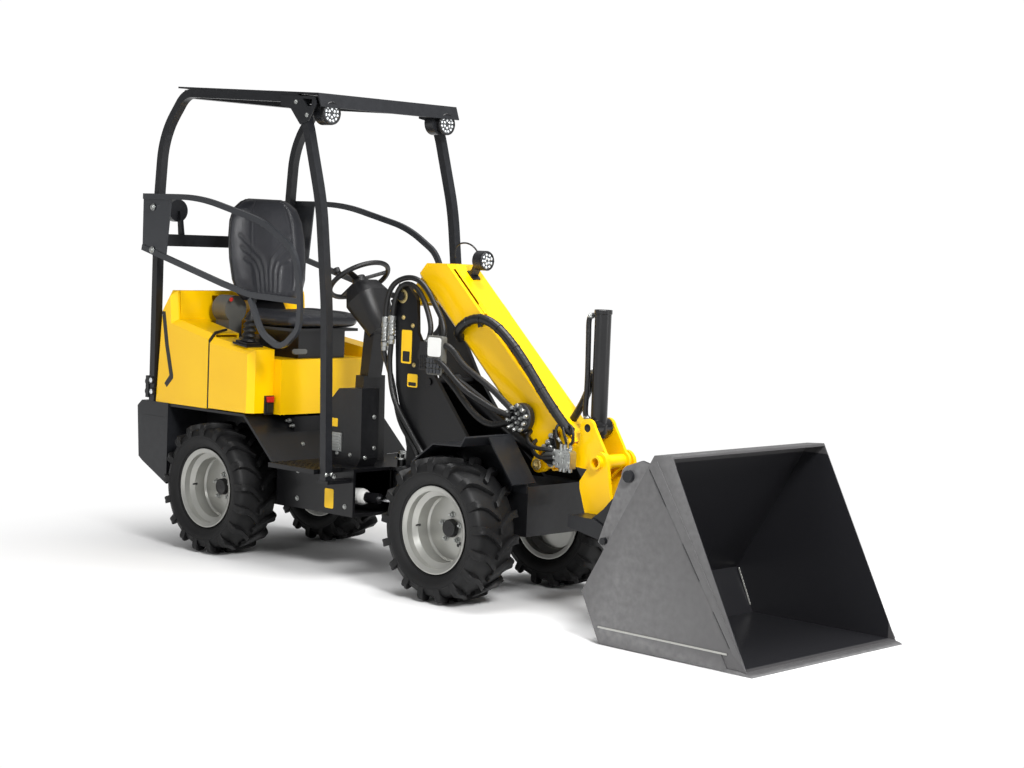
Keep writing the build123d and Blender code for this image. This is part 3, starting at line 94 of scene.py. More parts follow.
def ranged(tree, value, ends):
    """A map range node with its ends given by their names."""
    made = tree.nodes.new("ShaderNodeMapRange")
    for name, end in ends.items():
        made.inputs[name].default_value = end
    tree.links.new(value, made.inputs["Value"])
    return made


def noise(tree, place, scale, detail=2):
    made = tree.nodes.new("ShaderNodeTexNoise")
    made.inputs["Scale"].default_value = scale
    made.inputs["Detail"].default_value = detail
    tree.links.new(place, made.inputs["Vector"])
    return made


def surface(name, colour, rough=0.4, metal=0.0, coat=0.0, vary=0.08, scale=6.0, bump=0.0, grain=200.0,
            wear=None, wear_amount=0.0, streak=0.0):
    """A procedural finish: broad tone variation, fine grain in bump and roughness, worn edges."""
    m = bpy.data.materials.new(name)
    m.use_nodes = True
    t = m.node_tree
    n = t.nodes
    join = t.links.new
    n.clear()
    out = n.new("ShaderNodeOutputMaterial")
    s = n.new("ShaderNodeBsdfPrincipled")
    join(s.outputs[0], out.inputs[0])
    s.inputs["Metallic"].default_value = metal
    s.inputs["Coat Weight"].default_value = coat
    s.inputs["Coat Roughness"].default_value = 0.12
    where = n.new("ShaderNodeTexCoord")
    broad = noise(t, where.outputs["Object"], scale, 4)
    if streak:
        stretch = n.new("ShaderNodeMapping")
        stretch.inputs["Scale"].default_value = (1, 1, streak)
        join(where.outputs["Object"], stretch.inputs["Vector"])
        join(stretch.outputs[0], broad.inputs["Vector"])
    ramp = n.new("ShaderNodeValToRGB")
    low = [c * (1 - vary) for c in colour[:3]] + [1]
    high = [min(1, c * (1 + vary)) for c in colour[:3]] + [1]
    ramp.color_ramp.elements[0].color = low
    ramp.color_ramp.elements[0].position = 0.3
    ramp.color_ramp.elements[1].color = high
    ramp.color_ramp.elements[1].position = 0.7
    join(broad.outputs["Fac"], ramp.inputs[0])
    colour_out = ramp.outputs[0]
    if wear is not None:
        shape = n.new("ShaderNodeNewGeometry")
        edge = n.new("ShaderNodeValToRGB")
        edge.color_ramp.elements[0].position = WEAR_FROM
        edge.color_ramp.elements[1].position = WEAR_FULL
        join(shape.outputs["Pointiness"], edge.inputs[0])
        patch = noise(t, where.outputs["Object"], 35)
        worn = maths(t, "MULTIPLY", edge.outputs[0], patch.outputs["Fac"])
        colour_out = tinted(t, maths(t, "MULTIPLY", worn, wear_amount), colour_out, wear)
    join(colour_out, s.inputs["Base Color"])
    fine = noise(t, where.outputs["Object"], grain, 3)
    spread = ranged(t, fine.outputs["Fac"], {
        "To Min": rough * (1 - ROUGH_SPREAD), "To Max": min(1, rough * (1 + ROUGH_SPREAD))})
    join(spread.outputs[0], s.inputs["Roughness"])
    if bump:
        b = n.new("ShaderNodeBump")
        b.inputs["Strength"].default_value = bump
        b.inputs["Distance"].default_value = 0.001
        join(fine.outputs["Fac"], b.inputs["Height"])
        join(b.outputs[0], s.inputs["Normal"])
    return m


YELLOW = surface("yellow_paint", srgb(255, 199, 0), rough=0.30, coat=0.25, vary=0.05, scale=3, bump=0.05,
                 grain=500)
ANTHRACITE = surface("anthracite_paint", srgb(24, 25, 28), rough=0.34, coat=0.12, vary=0.10, scale=5,
                     bump=0.10, grain=600, wear=srgb(110, 112, 116), wear_amount=0.07)
FRAME_BLACK = surface("frame_black", srgb(13, 13, 15), rough=0.34, coat=0.12, vary=0.12, scale=5, bump=0.10,
                      grain=600, wear=srgb(100, 102, 106), wear_amount=0.06)
BAR_GREY = surface("bar_grey", srgb(46, 48, 52), rough=0.32, coat=0.12, vary=0.06, scale=8, bump=0.06,
                   grain=600)
BLACK_STEEL = surface("black_steel", srgb(15, 15, 17), rough=0.30, coat=0.2, vary=0.15, scale=10, bump=0.05)
CAST = surface("cast_black", srgb(24, 24, 25), rough=0.6, vary=0.2, scale=12, bump=0.5, grain=250)
BUCKET = surface("bucket_paint", srgb(74, 73, 74), rough=0.33, coat=0.25, vary=0.10, scale=4, bump=0.08,
                 grain=500, wear=srgb(170, 170, 170), wear_amount=0.4, streak=0.4)
RIM = surface("rim_silver", srgb(168, 168, 163), rough=0.30, metal=0.6, coat=0.2, vary=0.06, scale=9,
              bump=0.06, grain=400)
RUBBER = surface("tyre_rubber", srgb(15, 15, 16), rough=0.55, vary=0.18, scale=14, bump=0.35, grain=420)
SOFT_RUBBER = surface("soft_rubber", srgb(14, 14, 15), rough=0.45, vary=0.15, scale=20, bump=0.15, grain=300)
PLASTIC = surface("black_plastic", srgb(20, 20, 22), rough=0.42, vary=0.10, scale=10, bump=0.5, grain=900)
GREY_PLASTIC = surface("grey_plastic", srgb(96, 96, 92), rough=0.5, vary=0.10, scale=10, bump=0.4, grain=900)
VINYL = surface("vinyl", srgb(40, 41, 46), rough=0.34, vary=0.10, scale=8, bump=0.6, grain=700)
CHROME = surface("chrome", srgb(205, 206, 208), rough=0.12, metal=1.0, vary=0.03, scale=10)
ZINC = surface("zinc", srgb(176, 178, 176), rough=0.32, metal=0.9, vary=0.12, scale=30, bump=0.2)
BRASS = surface("brass_zinc", srgb(206, 186, 128), rough=0.34, metal=0.8, vary=0.12, scale=30, bump=0.2)
LABEL = surface("label_yellow", srgb(250, 200, 20), rough=0.4, vary=0.03)
WHITE = surface("label_white", srgb(235, 235, 232), rough=0.4, vary=0.03)
RED = surface("red_plastic", srgb(190, 30, 24), rough=0.4, vary=0.06)
HOSE = surface("hose_rubber", srgb(14, 14, 15), rough=0.42, vary=0.2, scale=30, bump=0.5, grain=500)
LAMP_BACK = surface("lamp_mirror", srgb(104, 106, 108), rough=0.25, metal=0.7, vary=0.15, scale=60)
WELD = surface("weld_bead", srgb(112, 111, 110), rough=0.4, metal=0.3, vary=0.2, scale=40)
STRIPE = surface("black_stripe", srgb(22, 22, 22), rough=0.35, vary=0.05, bump=0.03)


def principled(material):
    """The main shader of a material."""
    return next(n for n in material.node_tree.nodes if n.type == "BSDF_PRINCIPLED")


for dull in (YELLOW, ANTHRACITE, FRAME_BLACK, RUBBER, CAST):
    principled(dull).inputs["Specular IOR Level"].default_value = 0.32

# Painted shade: the bucket's paint is darkened inside its hollow, where shade falls. Places in metres of the
# row frame, with the bucket at rest.

BUCKET_INNER_SIDE = 0.5105    # no painted shade beyond this, either way from the middle
BUCKET_FLANGE = 0.744         # height of its upper flange
BUCKET_LIP = 1.915            # where the bright cutting edge begins
FACING = 0.2                  # how far a face has to turn inwards or up to take the painted shade
bucket_tree = BUCKET.node_tree
join = bucket_tree.links.new
paint = principled(BUCKET)
shape = bucket_tree.nodes.new("ShaderNodeTexCoord")
spot = bucket_tree.nodes.new("ShaderNodeSeparateXYZ")
facing = bucket_tree.nodes.new("ShaderNodeSeparateXYZ")
join(shape.outputs["Object"], spot.inputs[0])
join(shape.outputs["Normal"], facing.inputs[0])


def sum_node(kind, a, b):
    """A maths node of the bucket's painted shade."""
    return maths(bucket_tree, kind, a, b)


wall = sum_node("LESS_THAN", sum_node("MULTIPLY", spot.outputs["Y"], facing.outputs["Y"]), -FACING)
inside = sum_node("LESS_THAN", sum_node("ABSOLUTE", spot.outputs["Y"], 0), BUCKET_INNER_SIDE)
faces_up = sum_node("GREATER_THAN", sum_node("ADD", facing.outputs["X"], facing.outputs["Z"]), FACING)
below_flange = sum_node("LESS_THAN", spot.outputs["Z"], BUCKET_FLANGE)
behind_lip = sum_node("LESS_THAN", spot.outputs["X"], BUCKET_LIP)
# Painted shade mask: inner side walls, and faces turned up or ahead between the sides, below the flange and
# behind the lip.
bucket_painted_shade = sum_node("MAXIMUM", wall, sum_node("MULTIPLY", inside, faces_up))
bucket_painted_shade = sum_node("MULTIPLY", bucket_painted_shade, sum_node("MULTIPLY", below_flange, behind_lip))
# Painted shade: the base colour is mixed towards near-black where the mask is set.
unshaded_colour = paint.inputs["Base Color"].links[0].from_socket
join(tinted(bucket_tree, bucket_painted_shade, unshaded_colour, srgb(30, 30, 33)), paint.inputs["Base Color"])
GLASS = surface("lamp_glass", srgb(226, 230, 232), rough=0.12, metal=0.2, coat=1.0, vary=0.05, scale=60,
                bump=0.8, grain=160)

LOOKS = {
    "rear_chassis front_chassis pedal_guard": FRAME_BLACK,
    "counterweight rops_frame roof rear_lamp_bar fender_right fender_left quick_hitch": ANTHRACITE,
    "hood hood_side_right hood_side_left side_box_right side_box_left seat_box": YELLOW,
    "boom boom_head tool_carrier": YELLOW,
    "engine_block axle_rear axle_front": CAST,
    "seat_base lift_barrel tilt_barrel steering_barrel": BLACK_STEEL,
    "lift_rod tilt_rod steering_rod": CHROME,
    "seat_cushion seat_backrest": VINYL,
    "steering_column steering_wheel boom_lamp coupler_block": PLASTIC,
    "safety_bar_right safety_bar_left": BAR_GREY,
    "joystick": SOFT_RUBBER, "air_filter": GREY_PLASTIC, "bucket": BUCKET, "valve_block": ZINC,
}
NODE_MATERIAL = {name: look for names, look in LOOKS.items() for name in names.split()}
EDGE_MM = {"boom": 2.0, "rops_frame": 2.5, "safety_bar_right": 3.0, "safety_bar_left": 3.0,
           "roof": 1.5, "hood": 2.0, "seat_box": 2.0, "counterweight": 4.0}
PLAIN_EDGE_MM = 1.2
for name, node in nodes.items():
    if name.startswith("rim_"):
        chosen = RIM
    elif name.startswith("tyre_"):
        chosen = RUBBER
    else:
        chosen = NODE_MATERIAL[name]
    node.data.materials.clear()
    node.data.materials.append(chosen)
    if name.startswith(("tyre_", "rim_", "seat_cushion", "seat_backrest")) or name.endswith("_rod"):
        continue
    edge = node.modifiers.new("edge", "BEVEL")
    edge.width = EDGE_MM.get(name, PLAIN_EDGE_MM) / 1000
    edge.segments = 2
    edge.limit_method = "ANGLE"
    edge.angle_limit = radians(30)
    edge.use_clamp_overlap = True


# Builders

def placed(name, data):
    """An object of the scene."""
    obj = bpy.data.objects.new(name, data)
    bpy.context.scene.collection.objects.link(obj)
    return obj


def mesh_piece(name, verts, faces, material, body, smooth=True, bevel=0.0):
    """A mesh that rides on a body, with its faces turned outwards and its edges broken by bevel in mm."""
    data = bpy.data.meshes.new(name)
    data.from_pydata([tuple(v) for v in verts], [], faces)
    data.validate()
    bm = bmesh.new()
    bm.from_mesh(data)
    bmesh.ops.recalc_face_normals(bm, faces=bm.faces)
    bm.to_mesh(data)
    bm.free()
    obj = placed(name, data)
    data.materials.append(material)
    if smooth:
        for f in data.polygons:
            f.use_smooth = True
    if bevel:
        rounding = obj.modifiers.new("bevel", "BEVEL")
        rounding.width = bevel / 1000
        rounding.segments = 2
        rounding.limit_method = "ANGLE"
        rounding.angle_limit = radians(35)
        rounding.harden_normals = False
    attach(obj, body)
    return obj


def in_plane_x(x, corners):
    """Corners (y, z) in millimetres as points in the plane x."""
    return [p(x, y, z) for y, z in corners]


def in_plane_y(y, corners):
    """Corners (x, z) in millimetres as points in the plane y."""
    return [p(x, y, z) for x, z in corners]


def oblong(low, high, z0, z1):
    """The corners of a rectangle, for either plane."""
    return [(low, z0), (high, z0), (high, z1), (low, z1)]


class Shapes:
    """Many small closed forms gathered into one piece."""

    def __init__(self):
        self.verts = []
        self.faces = []

    def add(self, verts, faces):
        start = len(self.verts)
        self.verts += [Vector(v) for v in verts]
        self.faces += [tuple(i + start for i in f) for f in faces]

    def prism(self, ring, push):
        """A flat ring of points pushed along a vector."""
        n = len(ring)
        top = [Vector(v) + Vector(push) for v in ring]
        faces = [tuple(range(n - 1, -1, -1)), tuple(range(n, 2 * n))]
        faces += [(i, (i + 1) % n, n + (i + 1) % n, n + i) for i in range(n)]
        self.add(list(ring) + top, faces)

    def turned(self, base, axis, profile, sides=16, twist=0.0, hollow=False):
        """Rings of (distance along the axis, radius) in millimetres, closed at both ends or a sleeve."""
        axis = Vector(axis).normalized()
        u = axis.orthogonal().normalized()
        w = axis.cross(u)
        verts = []
        for d, r in profile:
            for k in range(sides):
                a = 2 * pi * k / sides + twist
                verts.append(base + axis * (d / 1000) + (u * cos(a) + w * sin(a)) * (r / 1000))
        faces = []
        for j in range(len(profile) - 1):
            for k in range(sides):
                a, b = j * sides + k, j * sides + (k + 1) % sides
                faces.append((a, b, b + sides, a + sides))
        last = (len(profile) - 1) * sides
        if hollow:
            faces += [(last + k, last + (k + 1) % sides, (k + 1) % sides, k) for k in range(sides)]
        else:
            faces.append(tuple(range(sides - 1, -1, -1)))
            faces.append(tuple(range(last, last + sides)))
        self.add(verts, faces)

    def bolt(self, base, axis, r):
        """A hexagon head on its washer."""
        self.turned(base, axis, [(-0.5, r * 1.35), (1.6, r * 1.35), (2.0, r * 1.25)], 20)
        self.turned(base, axis, [(1.5, r), (r * 0.7, r), (r * 0.8, r * 0.86)], 6)

    def piece(self, name, material, body, smooth=False, bevel=0.0):
        return mesh_piece(name, self.verts, self.faces, material, body, smooth, bevel)


def tube_mesh(path, radius, sides=12, ribs=0.0):
    """Vertices and faces of a closed tube along a path in metres, radius in millimetres."""
    verts, faces = [], []
    n = len(path)
    up = Vector((0, 0, 1))
    tangent = (path[1] - path[0]).normalized()
    if abs(tangent.dot(up)) > 0.9:
        up = Vector((1, 0, 0))
    side = tangent.cross(up).normalized()
    for i, c in enumerate(path):
        tangent = (path[min(i + 1, n - 1)] - path[max(i - 1, 0)]).normalized()
        side = (side - tangent * side.dot(tangent)).normalized()
        other = tangent.cross(side)
        r = (radius + (ribs if i % 2 else 0)) / 1000
        for k in range(sides):
            a = 2 * pi * k / sides
            verts.append(c + (side * cos(a) + other * sin(a)) * r)
    for i in range(n - 1):
        for k in range(sides):
            a, b = i * sides + k, i * sides + (k + 1) % sides
            faces.append((a, b, b + sides, a + sides))
    faces.append(tuple(range(sides - 1, -1, -1)))
    faces.append(tuple(range((n - 1) * sides, n * sides)))
    return verts, faces


def route(points):
    """Points along the smooth line of a hose whose control points are given in millimetres."""
    data = bpy.data.curves.new("route", "CURVE")
    data.dimensions = "3D"
    spline = data.splines.new("NURBS")
    spline.points.add(len(points) - 1)
    for spot, place in zip(spline.points, points):
        spot.co = (*p(*place), 1)
    spline.order_u = 3
    spline.use_endpoint_u = True
    spline.resolution_u = 6
    obj = placed("route", data)
    bpy.context.view_layer.update()
    made = bpy.data.meshes.new_from_object(obj.evaluated_get(bpy.context.evaluated_depsgraph_get()))
    line = [v.co.copy() for v in made.vertices]
    bpy.data.objects.remove(obj)
    bpy.data.curves.remove(data)
    bpy.data.meshes.remove(made)
    return line


def evenly(line, step):
    """The same line with points a steady step apart, in metres."""
    out = [line[0]]
    carry = 0.0
    for a, b in zip(line, line[1:]):
        run = (b - a).length
        at = step - carry
        while at <= run:
            out.append(a.lerp(b, at / run))
            at += step
        carry = run - (at - step)
    if (out[-1] - line[-1]).length > step * 0.3:
        out.append(line[-1])
    return out


RIB_STEP, PLAIN_STEP = 0.28, 0.5     # steps along a hose as shares of its diameter
HOSE_SIDES = 14


def hose(name, points, diameter, body, across=None, rib=0.0, material=None):
    """A hose held at both ends. across = (other body, start, end) where it crosses a joint: such a hose is
    baked in place on no body, and its start and end are not used.
    """
    line = evenly(route(points), diameter / 1000 * (RIB_STEP if rib else PLAIN_STEP))
    verts, faces = tube_mesh(line, diameter / 2, HOSE_SIDES, rib)
    data = bpy.data.meshes.new(name)
    data.from_pydata([tuple(v) for v in verts], [], faces)
    obj = placed(name, data)
    for f in data.polygons:
        f.use_smooth = not rib
    data.materials.append(material or HOSE)
    if across:
        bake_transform(obj)
    else:
        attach(obj, body)
    return line


def ferrule(shapes, line, at, r, long=34.0):
    """A crimped hose end with its nut, at one end of a line (0 or -1)."""
    a, b = (line[0], line[2]) if at == 0 else (line[-1], line[-3])
    axis = (b - a).normalized()
    shapes.turned(a - axis * 0.004, axis, [(0, r * 0.9), (2, r * 1.02), (long * 0.35, r * 1.02)], 6)
    shapes.turned(a, axis, [(long * 0.35, r * 0.8), (long * 0.42, r * 0.8)], 16)
    rings = [(long * 0.42, r)]
    for k in range(4):
        z = long * (0.45 + 0.13 * k)
        rings += [(z, r), (z + long * 0.04, r * 1.1), (z + long * 0.09, r * 1.1)]
    shapes.turned(a, axis, rings + [(long, r * 0.95)], 18)


# Tyres with bent bars, and rims with studs

LUGS = 17                 # bars on each side of a tyre
PHASE = 0.26              # turn of the tread, in pitches
TYRE_HALF = 125.0         # half width of a tyre
AROUND = 102              # steps of the tyre's body around its axle
HALF_BASE = 798           # from the middle to an axle
HALF_TRACK = 365
AXLE_Z = 322
RIM_FACE = 348            # outer face of a rim's disc, from the middle of the machine
STUD_CIRCLE = 60
SLOT_CIRCLE = 82
# Out from the middle of the tyre, and radius.
TYRE_PROFILE = [
    (89.5, 180), (91, 188), (92, 196), (94.5, 199), (97.5, 200.5), (99.5, 204), (101, 207.5), (104, 207),
    (110, 214), (116, 225), (120, 237), (121.2, 246), (121.3, 251), (123.6, 253.5), (123.8, 257),
    (121.8, 260), (119, 268), (114, 279), (106, 288), (92, 293), (64, 297), (32, 300.5), (0, 303),
]
CAP_PROFILE = [(0, 41), (3, 41), (5, 39.6), (19, 39), (23, 37), (24, 33), (22.5, 31), (22.5, 6),
               (23.5, 5), (23.5, 0.5)]
TYRE_BORE = [(-60, 179.5), (0, 179.4), (60, 179.5)]
# One bar from the sidewall to the middle: share of the half width, centre and half width in pitches,
# radius at the crown and at the foot, depth of its groove.
BAR_LINE = [
    (0.994, 0.170, 0.150, 266, 256, 2.2), (0.999, 0.170, 0.155, 284, 262, 3.2),
    (0.985, 0.171, 0.154, 300, 270, 3.2), (0.945, 0.173, 0.151, 311, 280, 2.4),
    (0.86, 0.180, 0.146, 316.5, 288, 0), (0.72, 0.205, 0.136, 318.5, 293, 0),
    (0.60, 0.245, 0.126, 319.3, 296, 0), (0.50, 0.300, 0.120, 320.0, 297, 0),
    (0.40, 0.380, 0.118, 320.8, 298, 0), (0.28, 0.490, 0.117, 321.5, 300, 0),
    (0.14, 0.620, 0.117, 321.9, 301, 0), (0.01, 0.745, 0.118, 322.0, 302, 0),
    (-0.03, 0.772, 0.105, 319, 302, 0),
]


def bar_cut(crown, foot, groove):
    """A bar's cross section: (share of its half width, radius) from one flank to the other."""
    return [(-1.12, foot), (-1.0, crown - 4), (-0.9, crown), (-0.34, crown), (-0.22, crown - groove),
            (0.22, crown - groove), (0.34, crown), (0.9, crown), (1.0, crown - 4), (1.12, foot)]


def tyre_mesh():
    """A tyre about its own middle, in millimetres: a moulded body with 17 bars on each side."""
    tyre = Shapes()
    profile = TYRE_PROFILE + [(-y, r) for y, r in reversed(TYRE_PROFILE[:-1])] + TYRE_BORE
    ring = len(profile)
    verts = []
    for i in range(AROUND):
        a = 2 * pi * i / AROUND
        verts += [(r * sin(a), y, r * cos(a)) for y, r in profile]
    faces = []
    for i in range(AROUND):
        j = (i + 1) % AROUND
        for k in range(ring):
            q = (k + 1) % ring
            faces.append((i * ring + k, i * ring + q, j * ring + q, j * ring + k))
    tyre.add(verts, faces)
    pitch = 2 * pi / LUGS
    for hand in (-1, 1):
        for k in range(LUGS):
            start = k + (0.5 if hand > 0 else 0) - PHASE
            verts = []
            for share, centre, half, crown, foot, groove in BAR_LINE:
                cut = bar_cut(crown, foot, groove)
                for side, r in cut:
                    a = (start + centre + side * half) * pitch
                    verts.append((r * sin(a), hand * share * TYRE_HALF, r * cos(a)))
            n = len(cut)
            rows = len(BAR_LINE)
            faces = []
            for j in range(rows - 1):
                for q in range(n - 1):
                    faces.append((j * n + q, j * n + q + 1, (j + 1) * n + q + 1, (j + 1) * n + q))
            faces.append(tuple(range(n - 1, -1, -1)))
            faces.append(tuple(range((rows - 1) * n, rows * n)))
            tyre.add(verts, faces)
    return tyre.verts, tyre.faces


def split_edges(obj, name, degrees):
    """Keep the edges sharper than an angle crisp on a smooth piece."""
    obj.modifiers.new(name, "EDGE_SPLIT").split_angle = radians(degrees)


wheels = [("front_right", HALF_BASE, -1), ("front_left", HALF_BASE, 1), ("rear_right", -HALF_BASE, -1),
          ("rear_left", -HALF_BASE, 1)]
tyre_verts, tyre_faces = tyre_mesh()
for name, x, hand in wheels:
    wheel = "wheel_" + name
    out = (0, hand, 0)
    verts = [p(x + v.x, hand * HALF_TRACK + v.y, AXLE_Z + v.z) for v in tyre_verts]
    tyre = mesh_piece("tread_" + name, verts, tyre_faces, RUBBER, wheel)
    split_edges(tyre, "edges", 32)
    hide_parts("tyre_" + name)
    studs = Shapes()
    for k in range(5):
        a = pi / 2 + 2 * pi * k / 5
        base = p(x + STUD_CIRCLE * cos(a), hand * RIM_FACE, AXLE_Z + STUD_CIRCLE * sin(a))
        studs.turned(base, out, [(0, 15), (2, 15), (3, 13.5)], 24)
        studs.turned(base, out, [(2, 12), (11, 12), (13, 10)], 6)
        studs.turned(base, out, [(2, 6.5), (20, 6.5), (21.5, 5.5)], 12)
    studs.piece("studs_" + name, ZINC, wheel, bevel=0.6)
    cap = Shapes()
    cap.turned(p(x, hand * RIM_FACE, AXLE_Z), out, CAP_PROFILE, 40)
    split_edges(cap.piece("cap_" + name, PLASTIC, wheel), "e", 35)
    slot = Shapes()
    a = radians(300)
    centre = p(x + SLOT_CIRCLE * cos(a), hand * RIM_FACE, AXLE_Z + SLOT_CIRCLE * sin(a))
    slot.turned(centre, out, [(-0.5, 8), (0.7, 8)], 18)
    slot.turned(centre + Vector((0.016 * sin(a) * -1, 0, 0.016 * cos(a))), out, [(-0.5, 8), (0.7, 8)], 18)
    slot.piece("slot_" + name, SOFT_RUBBER, wheel)
    stem = Shapes()
    base = p(x - 150, hand * 402, AXLE_Z)
    stem.turned(base, (0.25, hand, 0), [(0, 7), (3, 7), (5, 4), (26, 4), (27, 3)], 12)
    stem.piece("valve_stem_" + name, SOFT_RUBBER, wheel)


# Hoses: control points in millimetres. Most are read off the photograph in the plane where each one
# runs; the middle one of the bundle and those below the valve block are guesses.

metal = {}


def fittings(body):
    """The metal pieces of the hoses on one body, gathered until all are drawn."""
    return metal.setdefault(body, Shapes())


def capped(name, points, diameter, body, ends=(0, -1), **rest):
    """A hose with a crimped end at each of the given ends (0 first, -1 last)."""
    line = hose(name, points, diameter, body, **rest)
    for end in ends:
        holder = body if end == 0 or "across" not in rest else rest["across"][0]
        ferrule(fittings(holder), line, end, diameter / 2)


capped("hose_tower_outer", [
    (380, -148, 560), (372, -166, 600), (344, -166, 635), (246, -158, 723), (200, -146, 813),
    (168, -141, 905), (146, -152, 985), (128, -168, 1040), (134, -168, 1110), (132, -168, 1213),
    (140, -167, 1300), (172, -165, 1368), (251, -160, 1402), (330, -158, 1398), (400, -160, 1352),
    (456, -162, 1280), (510, -165, 1215), (528, -168, 1150), (500, -170, 1110), (452, -176, 1098),
    (430, -176, 1098)], 25, FRONT)
capped("hose_tower_inner", [
    (418, -148, 560), (410, -166, 600), (368, -168, 645), (293, -168, 728), (225, -168, 805),
    (188, -168, 885), (169, -168, 1005), (178, -168, 1088), (181, -168, 1216), (189, -167, 1290),
    (222, -165, 1362), (286, -160, 1376), (352, -158, 1338), (404, -160, 1258), (437, -164, 1178),
    (430, -170, 1125), (416, -176, 1090)], 25, FRONT)
for tag, x, z0, z1 in (("outer", 134, 1054, 1213), ("inner", 179, 1088, 1222)):
    stack = Shapes()
    base = p(x, -168, z0)
    run = z1 - z0
    stack.turned(base, UP, [(0, 13), (3, 15.5), (20, 15.5), (23, 13.5)], 24)
    stack.turned(base, UP, [(23, 18), (40, 18)], 6)
    for k in range(4):
        z = 44 + k * 17
        ring = [(z, 14.5), (z + 2, 17), (z + 11, 17), (z + 13, 14.5), (z + 17, 14.5)]
        stack.turned(base, UP, ring, 24)
    stack.turned(base, UP, [(112, 18.5), (130, 18.5)], 6)
    stack.turned(base, UP, [(130, 14), (132, 16.5), (run - 3, 16.5), (run, 13)], 24)
    stack.piece("coupler_stack_" + tag, ZINC, FRONT, bevel=0.6)

capped("hose_bundle_upper", [
    (470, -178, 1060), (500, -176, 1085), (540, -172, 1110), (591, -168, 1084), (646, -166, 1026),
    (717, -164, 988), (769, -162, 962), (840, -160, 925), (905, -158, 880), (945, -150, 850)],
    29, FRONT, ends=(), across=(BOOM, (600, -168, 1060), (905, -160, 850)), rib=0.55)
capped("hose_bundle_lower", [
    (460, -178, 1010), (490, -176, 1000), (516, -172, 985), (599, -168, 924), (672, -166, 855),
    (744, -164, 800), (815, -162, 772), (880, -158, 775), (935, -150, 795)],
    29, FRONT, ends=(), across=(BOOM, (560, -168, 960), (900, -160, 780)), rib=0.55)
capped("hose_bundle_middle", [
    (465, -178, 1035), (498, -190, 1040), (560, -190, 1010), (620, -190, 960), (690, -188, 912),
    (770, -184, 880), (850, -176, 848), (905, -166, 830), (945, -152, 822)],
    27, FRONT, ends=(), across=(BOOM, (560, -180, 1000), (905, -165, 830)), rib=0.5)

# Manifold ring where the bundle meets the boom, with its silver couplings

RING_X, RING_Z = 977, 815
ring = Shapes()
ring.turned(p(RING_X, -88, RING_Z), RIGHT, [
    (0, 40), (8, 40), (12, 58), (18, 66), (44, 66), (50, 60), (52, 40), (52, 2)], 32)
ring.piece("manifold_ring", PLASTIC, BOOM, bevel=1.0)
boom_metal = fittings(BOOM)
for k in range(10):
    a = 2 * pi * k / 10 + 0.2
    reach = 44 if k % 2 else 50
    place = p(RING_X + reach * cos(a), -139, RING_Z + reach * sin(a))
    lean = (0.35 * cos(a), -1, 0.35 * sin(a))
    boom_metal.turned(place, lean, [(0, 11), (9, 11)], 6)
    boom_metal.turned(place, lean, [(9, 7.5), (12, 7.5), (12.5, 9.5), (24, 9.5), (26, 7), (30, 6)], 16)
for k in range(4):
    a = 2 * pi * k / 4
    place = p(RING_X + 20 * cos(a), -139, RING_Z + 20 * sin(a))
    boom_metal.turned(place, RIGHT, [(0, 9), (8, 9)], 6)
    boom_metal.turned(place, RIGHT, [(8, 6), (20, 6), (21, 4)], 14)

# Sleeved hose along the boom, held by ties, then three small hoses to the valve block

sleeve = hose("hose_sleeve", [
    (552, -86, 1140), (556, -110, 1150), (575, -128, 1180), (617, -130, 1212), (684, -130, 1238),
    (770, -130, 1230), (857, -130, 1181), (944, -130, 1108), (1025, -128, 1023), (1092, -124, 944),
    (1160, -118, 868), (1215, -112, 812), (1240, -104, 786), (1246, -88, 776)],
    43, BOOM, rib=0.6, material=SOFT_RUBBER)
ties = Shapes()
for share in (0.14, 0.24, 0.36, 0.50, 0.62, 0.74, 0.86):
    i = int(len(sleeve) * share)
    axis = (sleeve[i + 2] - sleeve[i - 2]).normalized()
    ties.turned(sleeve[i] - axis * 0.003, axis, [(0, 22.5), (0.6, 23.6), (5.4, 23.6), (6, 22.5)], 24)
    ties.turned(sleeve[i] + Vector((0.004, -0.022, 0.006)), (0.2, -1, 0.3), [(0, 4), (5, 4)], 4)
ties.piece("sleeve_ties", PLASTIC, BOOM)
clamps = Shapes()
for x, z in ((684, 1238), (944, 1108), (1092, 944)):
    base = p(x, -90, z - 30)
    clamps.turned(base, RIGHT, [(-2, 11), (14, 11), (15, 9)], 6)
    clamps.turned(base, RIGHT, [(14, 16), (18, 16)], 4, twist=0.4)
clamps.piece("sleeve_clamps", BLACK_STEEL, BOOM, bevel=0.6)
for tag, points in (
    ("upper", [(1236, -96, 800), (1262, -122, 812), (1290, -134, 796), (1300, -138, 760), (1288, -130, 734),
               (1272, -124, 728), (1270, -124, 722)]),
    ("middle", [(1226, -98, 792), (1226, -124, 800), (1238, -134, 782), (1248, -132, 752), (1247, -124, 732),
                (1247, -124, 722)]),
    ("lower", [(1212, -100, 802), (1200, -128, 812), (1196, -140, 780), (1206, -138, 745), (1222, -126, 730),
               (1223, -124, 722)]),
):
    capped("hose_block_" + tag, points, 13, BOOM, ends=(-1,))
for tag, points in (
    ("front", [(1214, -124, 640), (1190, -124, 640), (1160, -121, 637), (1128, -117, 640), (1104, -110, 652),
               (1090, -98, 664), (1088, -82, 670)]),
    ("rear", [(1214, -124, 663), (1188, -128, 664), (1150, -139, 657), (1110, -143, 655), (1070, -138, 672),
              (1044, -120, 702), (1040, -98, 716), (1040, -82, 722)]),
    ("low", [(1214, -124, 686), (1190, -130, 690), (1160, -148, 698), (1120, -154, 694), (1070, -151, 700),
             (1030, -136, 724), (1010, -114, 748), (1008, -82, 760)]),
):
    capped("hose_loop_" + tag, points, 19, BOOM, ends=(0,))

# Fitting bracket and adapters beside the valve block

